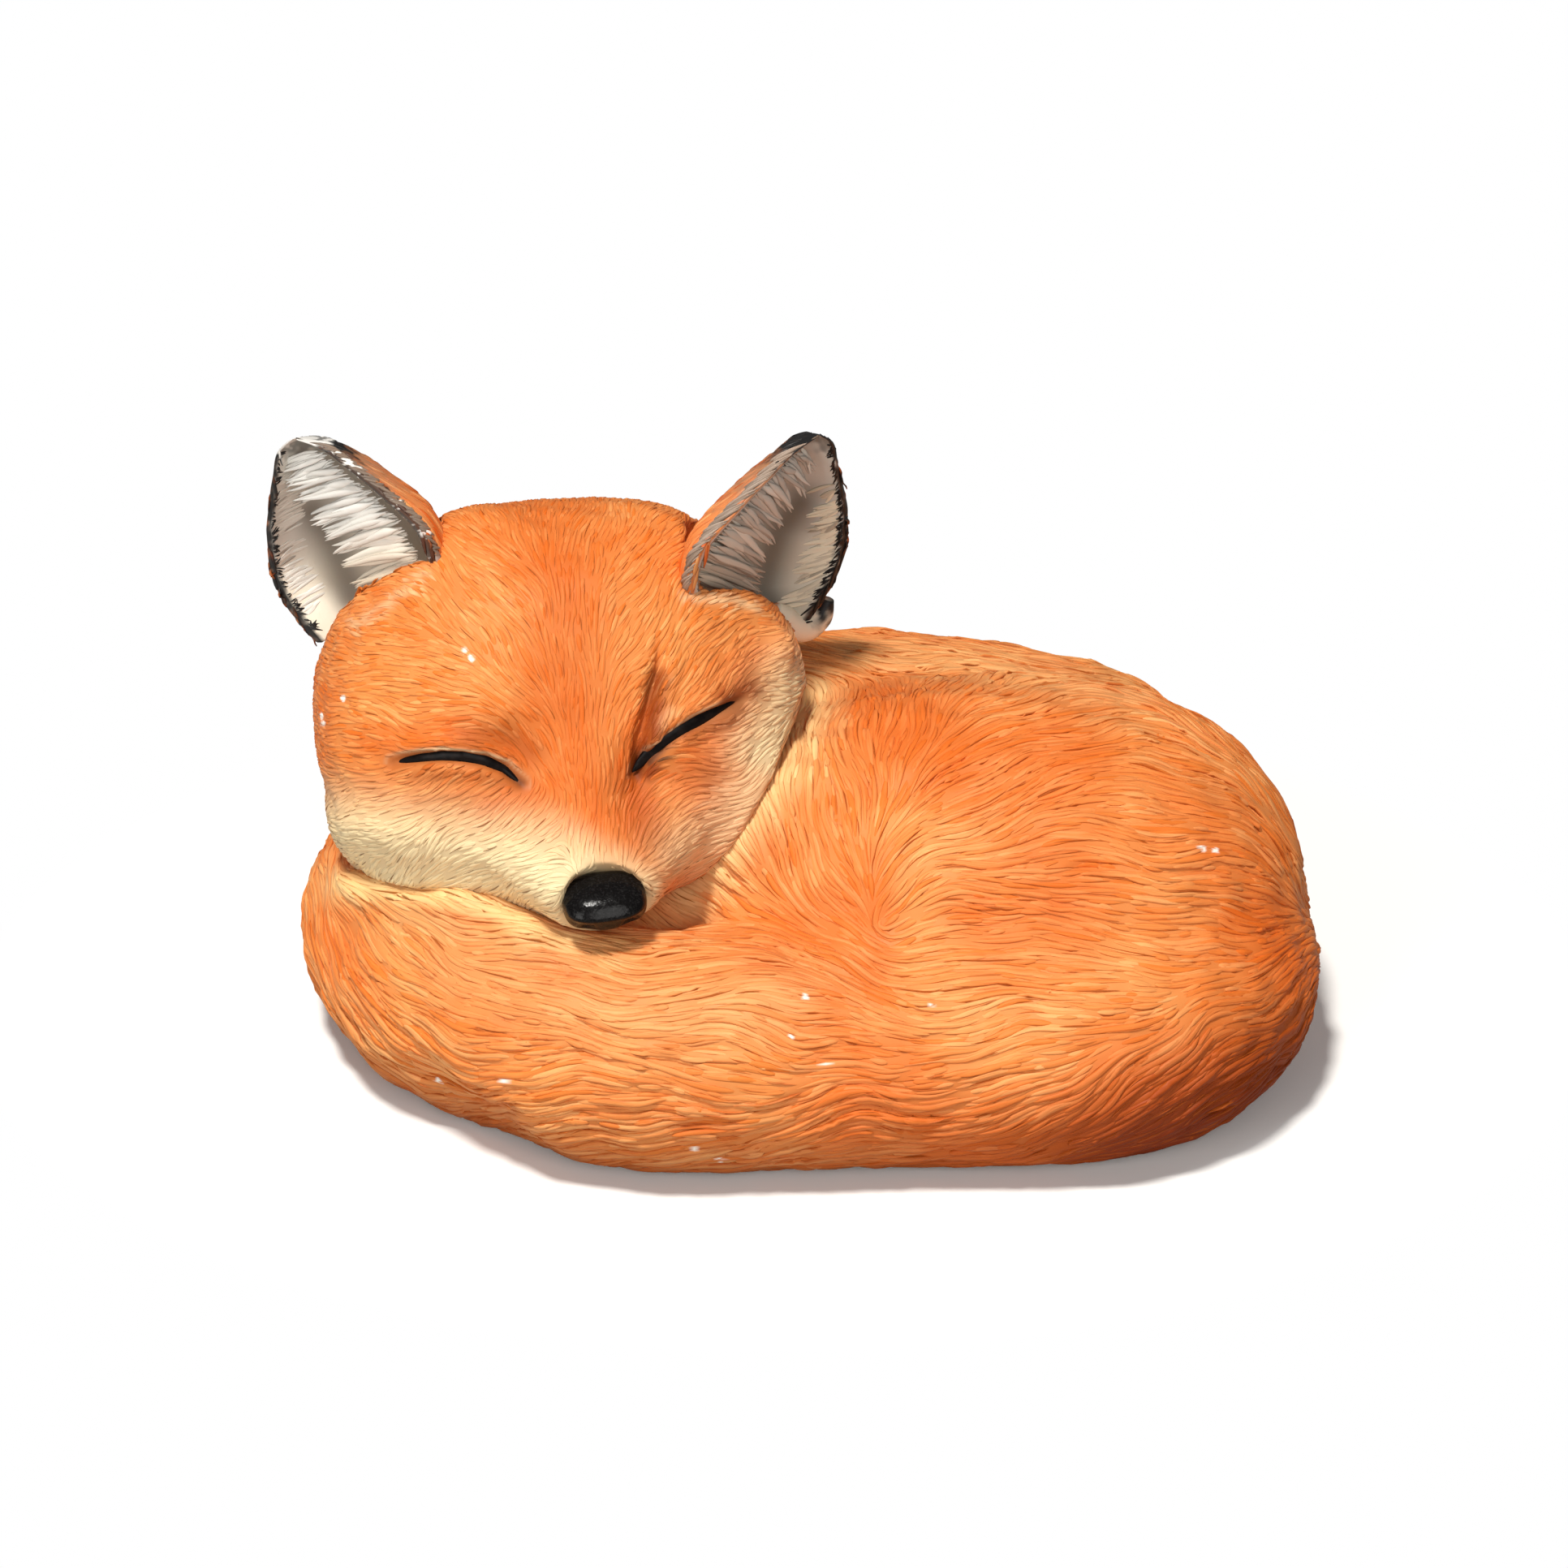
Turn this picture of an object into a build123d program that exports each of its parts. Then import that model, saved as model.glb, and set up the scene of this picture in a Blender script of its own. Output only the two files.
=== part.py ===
"""A sleeping fox figurine, cast in resin and glued up from separate pieces, in millimetres.

+X is the viewer's right, +Y goes to the back and +Z is up.
The origin is on the table, under the middle of the figurine.
Left and right are the viewer's, looking at the face.
"""

import math
import os

from build123d import *

# Underside: the felt pad, and the base plate that closes the casting
pad_thickness = 1.0
pad_length = 124.0
pad_depth = 78.0
plate_thickness = 4.0
plate_length = 112.0
plate_depth = 64.0
plate_ledge = 4.0
plate_x = 8.0
plate_y = 3.0
vent_diameter = 8.0
glue_gap = 0.15

# Trunk: the curled back, from the shoulders to the rump
trunk_x = 6.0
trunk_y = 11.0
trunk_z = 21.5
trunk_length = 152.0
trunk_depth = 92.0
trunk_rise = 35.5
trunk_bluntness = 2.4

# Haunch: the near thigh, which bulges over the trunk
haunch_x = 36.5
haunch_y = -14.0
haunch_z = 25.5
haunch_length = 107.5
haunch_depth = 82.0
haunch_rise = 38.0
haunch_bluntness = 2.25

# Tail: from inside the rump along the front and round the left end, with (x, y) points of its middle line
tail_radius = 19.8
tail_tip_radius = 9.9
tail_z = 18.5
tail_rise_share = 0.33
tail_fall_share = 0.19
tail_stations = 25
TAIL_COURSE = (
    (52.0, 32.0),
    (69.0, 15.0),
    (73.5, -6.0),
    (73.0, -27.0),
    (61.0, -44.5),
    (34.0, -49.5),
    (3.0, -50.5),
    (-25.0, -50.5),
    (-45.0, -42.0),
    (-59.5, -25.0),
    (-65.5, -6.0),
    (-60.0, 13.0),
    (-46.0, 28.0),
)

# Hollow of the body casting, open at the base plate
hollow_x = 22.0
hollow_y = 6.0
hollow_z = 21.5
hollow_length = 100.0
hollow_depth = 66.0
hollow_rise = 23.0

# Head: skull, cheeks and muzzle along one axis from the nape to the nose
head_x = -38.5
head_y = -6.0
head_z = 60.0
head_yaw = 12.0
head_pitch = 17.0
head_roll = 3.0
head_width = 84.0
head_crown = 35.0
head_jaw = 27.0
head_back = 31.0
head_bluntness = 2.3
muzzle_reach = 46.0
cheek_side = 22.5
cheek_drop = 6.5
cheek_forward = 9.0
cheek_length = 54.0
cheek_width = 38.0
cheek_height = 35.0
cheek_bluntness = 2.2

# Nose: a rounded block set in the end of the muzzle
nose_width = 13.5
nose_height = 9.5
nose_length = 12.0
nose_bluntness = 2.6
nose_lift = 1.0

# Eyes: closed slits let into the face, from their outer to their inner corner
eye_height = 2.6
eye_depth = 3.0
left_eye_outer = (-28.8, 14.0, 21.6)
left_eye_inner = (-10.9, 13.6, 29.9)
right_eye_outer = (28.2, 16.8, 19.5)
right_eye_inner = (9.0, 12.9, 30.9)

# Ears: cupped leaves, each with a solid root in a socket of the head
ear_width = 33.0
ear_cup = 14.5
ear_wall = 3.0
ear_root = 7.0
left_ear_foot = (-70.5, -6.0, 77.5)
left_ear_tip = (-80.8, -5.0, 108.0)
left_ear_yaw = -30.0
right_ear_foot = (-3.5, -2.0, 76.0)
right_ear_tip = (5.4, -3.0, 108.0)
right_ear_yaw = 46.0
tuft_thickness = 2.2
tuft_angle = 72.0

# Pins and dowels of the glued joints
dowel_diameter = 5.0
dowel_length = 22.0
dowel_spacing = 24.0
dowel_x = -38.0
dowel_y = 4.0
dowel_foot = 38.0
pin_diameter = 2.0
pin_length = 13.0
pin_grip = 5.0
hole_play = 0.2

# Stations of the face, as shares of the muzzle's reach, half the head's width, its crown and its jaw
FACE_STATIONS = (
    (0.28, 0.97, 0.87, 0.96),
    (0.52, 0.80, 0.60, 0.92),
    (0.72, 0.54, 0.34, 0.70),
    (0.87, 0.34, 0.21, 0.44),
    (1.00, 0.21, 0.14, 0.30),
)
SKULL_STATIONS = (-0.96, -0.84, -0.6, -0.3, 0.0)

# Stations along a swelling form, as shares of its half length
SWELL_STATIONS = (-0.97, -0.86, -0.65, -0.35, 0.0, 0.35, 0.65, 0.86, 0.97)

# Stations of an ear from its foot to its tip, as shares of its length and of its full width
EAR_STATIONS = (
    (0.00, 1.00),
    (0.25, 1.00),
    (0.50, 0.90),
    (0.75, 0.67),
    (0.92, 0.37),
    (1.00, 0.15),
)
TUFT_STATIONS = ((0.14, 0.985), (0.32, 0.965), (0.52, 0.87), (0.70, 0.70))


def girth_at(station, bluntness):
    """How thick a swelling form is at a station from -1 to 1, as a share of its middle."""
    return (1 - abs(station) ** bluntness) ** (1 / bluntness)


def egg(plane, right, up, left, down):
    """A closed outline of four quarter ellipses that share their tangents."""
    with BuildSketch(plane) as outline:
        with BuildLine():
            EllipticalCenterArc((0, 0), right, up, 0, arc_size=90)
            EllipticalCenterArc((0, 0), left, up, 90, arc_size=90)
            EllipticalCenterArc((0, 0), left, down, 180, arc_size=90)
            EllipticalCenterArc((0, 0), right, down, 270, arc_size=90)
        make_face()
    return outline.sketch


def arched_strip(plane, half_width, depth, wall, start, sweep):
    """The outline between two elliptical arcs a wall apart, closed by a straight line at each end."""
    with BuildSketch(plane) as outline:
        with BuildLine():
            back = EllipticalCenterArc((0, 0), half_width, depth, start, arc_size=sweep)
            front = EllipticalCenterArc((0, 0), half_width - wall, depth - wall, start, arc_size=sweep)
            Line(back @ 0, front @ 0)
            Line(back @ 1, front @ 1)
        make_face()
    return outline.sketch


def lofted(sections):
    """One solid through sections in order."""
    with BuildPart() as form:
        loft(sections)
    return form.part


def swelling(plane, half_length, half_width, half_height, bluntness):
    """A rounded form along the plane's normal, thickest at the plane's origin."""
    sections = [Vertex(*(plane.origin - plane.z_dir * half_length))]
    for station in SWELL_STATIONS:
        girth = girth_at(station, bluntness)
        width, height = half_width * girth, half_height * girth
        sections.append(egg(plane.offset(station * half_length), width, height, width, height))
    sections.append(Vertex(*(plane.origin + plane.z_dir * half_length)))
    return lofted(sections)


def along_x(x, y, z):
    """A plane whose normal is +X, with +Y to its right and +Z up."""
    return Plane(origin=(x, y, z), x_dir=(0, 1, 0), z_dir=(1, 0, 0))


def tail_reach(share):
    """The tail's radius at a share of its length; both ends are thinner and lie inside the trunk."""
    fullness = min(1.0, share / tail_rise_share, (1 - share) / tail_fall_share)
    return tail_tip_radius + (tail_radius - tail_tip_radius) * math.sin(math.pi / 2 * fullness)


def body_forms(growth):
    """Trunk, haunch and tail, each grown all round by an allowance."""
    trunk = swelling(
        along_x(trunk_x, trunk_y, trunk_z),
        trunk_length / 2 + growth,
        trunk_depth / 2 + growth,
        trunk_rise + growth,
        trunk_bluntness,
    )
    haunch = swelling(
        along_x(haunch_x, haunch_y, haunch_z),
        haunch_length / 2 + growth,
        haunch_depth / 2 + growth,
        haunch_rise + growth,
        haunch_bluntness,
    )
    with BuildLine():
        spine = Spline(*[(x, y, tail_z) for x, y in TAIL_COURSE])
    sections = []
    for station in range(tail_stations):
        share = station / (tail_stations - 1)
        reach = tail_reach(share) + growth
        plane = Plane(origin=spine @ share, x_dir=(0, 0, 1), z_dir=spine % share)
        sections.append(egg(plane, reach, reach, reach, reach))
    return trunk, haunch, lofted(sections)


def head_place(side, up, forward):
    """A plane across the head's axis, at a place measured from the middle of the head."""
    middle = head_plane.from_local_coords(Vector(side, up, forward))
    return Plane(origin=middle, x_dir=head_plane.x_dir, z_dir=head_plane.z_dir)


def head_form():
    """Skull, face and muzzle, from the nape to the end of the muzzle."""
    half_width = head_width / 2
    sections = [Vertex(*(head_plane.origin - head_plane.z_dir * head_back))]
    for station in SKULL_STATIONS:
        girth = girth_at(station, head_bluntness)
        wide = half_width * girth
        plane = head_place(0, 0, station * head_back)
        sections.append(egg(plane, wide, head_crown * girth, wide, head_jaw * girth))
    for forward, wide, up, down in FACE_STATIONS:
        wide = wide * half_width
        plane = head_place(0, 0, forward * muzzle_reach)
        sections.append(egg(plane, wide, up * head_crown, wide, down * head_jaw))
    return lofted(sections)


def cheek_form(side):
    """One cheek; side is -1 for the left one and 1 for the right one."""
    place = head_place(side * cheek_side, -cheek_drop, cheek_forward)
    return swelling(place, cheek_length / 2, cheek_width / 2, cheek_height / 2, cheek_bluntness)


def nose_form(growth):
    """The nose, grown all round by an allowance."""
    return swelling(
        head_place(0, nose_lift, muzzle_reach),
        nose_length / 2 + growth,
        nose_width / 2 + growth,
        nose_height / 2 + growth,
        nose_bluntness,
    )


def eye_form(outer, inner, growth):
    """A slit-shaped prism that stands out of the face, grown all round by an allowance."""
    ends = [head_plane.from_local_coords(Vector(*outer)), head_plane.from_local_coords(Vector(*inner))]
    along = (ends[1] - ends[0]) * (1 if ends[1].X > ends[0].X else -1)
    out = along.cross(head_plane.y_dir)
    slit = Plane(origin=(ends[0] + ends[1]) * 0.5, x_dir=along, z_dir=out)
    half_length = along.length / 2 + growth
    half_height = eye_height / 2 + growth
    with BuildPart() as form:
        with BuildSketch(slit.offset(-eye_depth - growth)):
            with BuildLine():
                ThreePointArc((-half_length, 0), (0, half_height), (half_length, 0))
                ThreePointArc((half_length, 0), (0, -half_height), (-half_length, 0))
            make_face()
        extrude(amount=eye_depth * 4)
    return form.part


def ear_plane(foot, tip, yaw, distance):
    """A plane across an ear, a distance along it from its foot; its back is on the plane's +Y side."""
    along = (Vector(*tip) - Vector(*foot)).normalized()
    across = Vector(math.cos(math.radians(yaw)), math.sin(math.radians(yaw)), 0)
    across = across - along * across.dot(along)
    return Plane(origin=Vector(*foot) + along * distance, x_dir=across, z_dir=along)


def ear_length(foot, tip):
    """How far an ear stands up from its foot."""
    return (Vector(*tip) - Vector(*foot)).length


def ear_root_form(foot, tip, yaw, top, inset):
    """The solid root of an ear up to a height above its foot, set in from the leaf, or its socket."""
    half_width = ear_width / 2 - inset
    depth = ear_cup - inset
    front = ear_wall / 3 - inset
    sections = []
    for height, share in ((-ear_root + min(inset, 0), 0.86), (0, 1.0), (top, 1.0)):
        plane = ear_plane(foot, tip, yaw, height)
        sections.append(egg(plane, half_width * share, depth * share, half_width * share, front))
    return lofted(sections)


def ear_leaf(foot, tip, yaw):
    """The cupped leaf of an ear above its root."""
    length = ear_length(foot, tip)
    sections = []
    for share, width in EAR_STATIONS:
        wall = ear_wall * (1 - 0.8 * share)
        plane = ear_plane(foot, tip, yaw, share * length)
        sections.append(arched_strip(plane, width * ear_width / 2, width * ear_cup, wall, 0, 180))
    return lofted(sections)


def tuft_leaf(foot, tip, yaw, start):
    """The hair inside an ear, lying against its inner side from a start angle."""
    length = ear_length(foot, tip)
    sections = []
    for share, width in TUFT_STATIONS:
        inset = ear_wall * (1 - 0.8 * share) + glue_gap
        thick = tuft_thickness * (1.1 - share)
        plane = ear_plane(foot, tip, yaw, share * length)
        half_width = width * ear_width / 2 - inset
        sections.append(arched_strip(plane, half_width, width * ear_cup - inset, thick, start, tuft_angle))
    return lofted(sections)


def ear_pin_form(foot, tip, yaw, play):
    """A round pin from the head into an ear's root, or its hole when there is play."""
    grip = ear_plane(foot, tip, yaw, -ear_root + pin_grip - pin_length - play)
    with BuildPart() as form:
        with BuildSketch(grip):
            with Locations((0, ear_cup * 0.42)):
                Circle((pin_diameter + play) / 2)
        extrude(amount=pin_length + 2 * play)
    return form.part


def dowel_forms(play):
    """The two dowels between the body and the head, or their holes when there is play."""
    with BuildPart() as form:
        with BuildSketch(Plane.XY.offset(dowel_foot - play)):
            with Locations((dowel_x - dowel_spacing / 2, dowel_y), (dowel_x + dowel_spacing / 2, dowel_y)):
                Circle((dowel_diameter + play) / 2)
        extrude(amount=dowel_length + 2 * play)
    return form.part


head_plane = Plane(
    Location((head_x, head_y, head_z))
    * Rotation(0, 0, head_yaw)
    * Rotation(90 + head_pitch, 0, 0)
    * Rotation(0, 0, head_roll)
)
plate_top = pad_thickness + plate_thickness
left_seat = (left_ear_foot, left_ear_tip, left_ear_yaw)
right_seat = (right_ear_foot, right_ear_tip, right_ear_yaw)
left_reach = ear_length(left_ear_foot, left_ear_tip) / 2
right_reach = ear_length(right_ear_foot, right_ear_tip) / 2

# Forms of the castings, and what is let into them
body_solids = body_forms(0)
hollow_solid = swelling(
    along_x(hollow_x, hollow_y, hollow_z), hollow_length / 2, hollow_depth / 2, hollow_rise, trunk_bluntness
)
dowel_holes = dowel_forms(hole_play)
head_solids = (head_form(), cheek_form(-1), cheek_form(1))
left_pin_hole = ear_pin_form(*left_seat, hole_play)
right_pin_hole = ear_pin_form(*right_seat, hole_play)
head_cuts = (
    *body_forms(glue_gap),
    nose_form(glue_gap),
    eye_form(left_eye_outer, left_eye_inner, glue_gap),
    eye_form(right_eye_outer, right_eye_inner, glue_gap),
    ear_root_form(*left_seat, left_reach, -glue_gap),
    ear_root_form(*right_seat, right_reach, -glue_gap),
    left_pin_hole,
    right_pin_hole,
    dowel_holes,
)

# Body: trunk, haunch and tail in one hollow casting, cut flat underneath
with BuildPart() as body_casting:
    for solid in body_solids:
        add(solid)
    with BuildSketch(Plane.XY.offset(pad_thickness)):
        with Locations((plate_x, plate_y)):
            Ellipse(plate_length / 2 + 2 * plate_ledge, plate_depth / 2 + 2 * plate_ledge)
    extrude(amount=hollow_z - pad_thickness)
    split(bisect_by=Plane.XY.offset(pad_thickness), keep=Keep.TOP)
    add(dowel_holes, mode=Mode.SUBTRACT)
    with BuildSketch(Plane.XY.offset(pad_thickness)):
        with Locations((plate_x, plate_y)):
            Ellipse(plate_length / 2 + glue_gap, plate_depth / 2 + glue_gap)
    extrude(amount=plate_thickness, mode=Mode.SUBTRACT)
    with BuildSketch(Plane.XY.offset(plate_top)):
        with Locations((plate_x, plate_y)):
            Ellipse(plate_length / 2 - plate_ledge, plate_depth / 2 - plate_ledge)
    extrude(amount=hollow_z - plate_top, mode=Mode.SUBTRACT)
    add(hollow_solid, mode=Mode.SUBTRACT)

# Head: one solid casting, seated on the body and the tail
with BuildPart() as head_casting:
    for solid in head_solids:
        add(solid)
    for solid in head_cuts:
        add(solid, mode=Mode.SUBTRACT)

# Ears: a leaf and a root each, with a hole for the pin
left_ear_solids = (ear_leaf(*left_seat), ear_root_form(*left_seat, ear_wall, ear_wall / 4))
with BuildPart() as left_ear:
    for solid in left_ear_solids:
        add(solid)
    add(left_pin_hole, mode=Mode.SUBTRACT)
right_ear_solids = (ear_leaf(*right_seat), ear_root_form(*right_seat, ear_wall, ear_wall / 4))
with BuildPart() as right_ear:
    for solid in right_ear_solids:
        add(solid)
    add(right_pin_hole, mode=Mode.SUBTRACT)

# Tufts: the hair on the inner side of each ear
left_tuft_solid = tuft_leaf(*left_seat, 4)
with BuildPart() as left_ear_tuft:
    add(left_tuft_solid)
right_tuft_solid = tuft_leaf(*right_seat, 176 - tuft_angle)
with BuildPart() as right_ear_tuft:
    add(right_tuft_solid)

# Nose and eyes: glossy insets of the face
nose_solid = nose_form(0)
with BuildPart() as nose:
    add(nose_solid)
left_eye_solid = eye_form(left_eye_outer, left_eye_inner, 0)
with BuildPart() as left_eye:
    for solid in head_solids:
        add(solid)
    add(left_eye_solid, mode=Mode.INTERSECT)
right_eye_solid = eye_form(right_eye_outer, right_eye_inner, 0)
with BuildPart() as right_eye:
    for solid in head_solids:
        add(solid)
    add(right_eye_solid, mode=Mode.INTERSECT)

# Dowels of the neck joint and pins of the ear joints
dowel_solids = dowel_forms(0)
with BuildPart() as neck_dowels:
    add(dowel_solids)
pin_solids = (ear_pin_form(*left_seat, 0), ear_pin_form(*right_seat, 0))
with BuildPart() as ear_pins:
    for solid in pin_solids:
        add(solid)

# Base plate: closes the hollow and lets the air out while the glue sets
with BuildPart() as base_plate:
    with BuildSketch(Plane.XY.offset(pad_thickness)):
        with Locations((plate_x, plate_y)):
            Ellipse(plate_length / 2, plate_depth / 2)
            Circle(vent_diameter / 2, mode=Mode.SUBTRACT)
    extrude(amount=plate_thickness)

# Felt pad: stuck under the plate and the rim of the casting
with BuildPart() as felt_pad:
    with BuildSketch():
        with Locations((plate_x, plate_y)):
            Ellipse(pad_length / 2, pad_depth / 2)
            Circle(vent_diameter / 2, mode=Mode.SUBTRACT)
    extrude(amount=pad_thickness)

body_casting.part.label = "body_casting"
head_casting.part.label = "head_casting"
left_ear.part.label = "left_ear"
right_ear.part.label = "right_ear"
left_ear_tuft.part.label = "left_ear_tuft"
right_ear_tuft.part.label = "right_ear_tuft"
nose.part.label = "nose"
left_eye.part.label = "left_eye"
right_eye.part.label = "right_eye"
neck_dowels.part.label = "neck_dowels"
ear_pins.part.label = "ear_pins"
base_plate.part.label = "base_plate"
felt_pad.part.label = "felt_pad"

os.makedirs("parts", exist_ok=True)
export_step(body_casting.part, "parts/body_casting.step")
export_step(head_casting.part, "parts/head_casting.step")
export_step(left_ear.part, "parts/left_ear.step")
export_step(right_ear.part, "parts/right_ear.step")
export_step(left_ear_tuft.part, "parts/left_ear_tuft.step")
export_step(right_ear_tuft.part, "parts/right_ear_tuft.step")
export_step(nose.part, "parts/nose.step")
export_step(left_eye.part, "parts/left_eye.step")
export_step(right_eye.part, "parts/right_eye.step")
export_step(neck_dowels.part, "parts/neck_dowels.step")
export_step(ear_pins.part, "parts/ear_pins.step")
export_step(base_plate.part, "parts/base_plate.step")
export_step(felt_pad.part, "parts/felt_pad.step")
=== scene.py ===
import math
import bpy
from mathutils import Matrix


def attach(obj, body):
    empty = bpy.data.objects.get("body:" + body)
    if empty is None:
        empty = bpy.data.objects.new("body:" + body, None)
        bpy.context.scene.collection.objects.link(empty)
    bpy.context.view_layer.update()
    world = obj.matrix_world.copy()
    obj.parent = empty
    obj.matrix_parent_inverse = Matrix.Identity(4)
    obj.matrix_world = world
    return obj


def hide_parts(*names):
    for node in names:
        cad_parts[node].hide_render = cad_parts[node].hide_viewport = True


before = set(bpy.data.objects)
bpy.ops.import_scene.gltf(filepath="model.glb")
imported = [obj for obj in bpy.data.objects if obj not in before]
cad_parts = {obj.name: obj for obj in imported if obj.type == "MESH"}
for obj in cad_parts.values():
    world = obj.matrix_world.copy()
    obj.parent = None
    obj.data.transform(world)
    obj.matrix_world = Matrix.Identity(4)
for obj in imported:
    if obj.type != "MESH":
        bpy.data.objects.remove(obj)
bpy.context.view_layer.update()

from types import SimpleNamespace

import bpy
import numpy as np
from mathutils import Vector
from mathutils.bvhtree import BVHTree

# Camera: lengths in metres, angles in degrees
TARGET = (0.0, 0.0, 0.040)
DISTANCE = 0.650
ELEVATION = 30.0
LENS = 85.0
SENSOR = 36.0

# Everything below is sculpted in millimetres and scaled to metres when a piece is made.
# Guide lines are drawn on the "sheet": the camera's picture plane, 1932 units square, y downwards.
SHEET = 1932.0
FOCUS = LENS / SENSOR * SHEET
TILT = math.radians(ELEVATION)
SHEET_RIGHT = np.array((1.0, 0.0, 0.0))
SHEET_UP = np.array((0.0, math.sin(TILT), math.cos(TILT)))
TO_EYE = np.array((0.0, -math.cos(TILT), math.sin(TILT)))
EYE = np.array(TARGET) * 1000 + TO_EYE * DISTANCE * 1000
# How far along a ray that misses a surface the place is from which its nearest point is looked for
MISS_REACH = DISTANCE * 1000 - 30

# Size of the cells in which the skins are made again, in millimetres
BODY_GRAIN = 0.72
HEAD_GRAIN = 0.52

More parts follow.
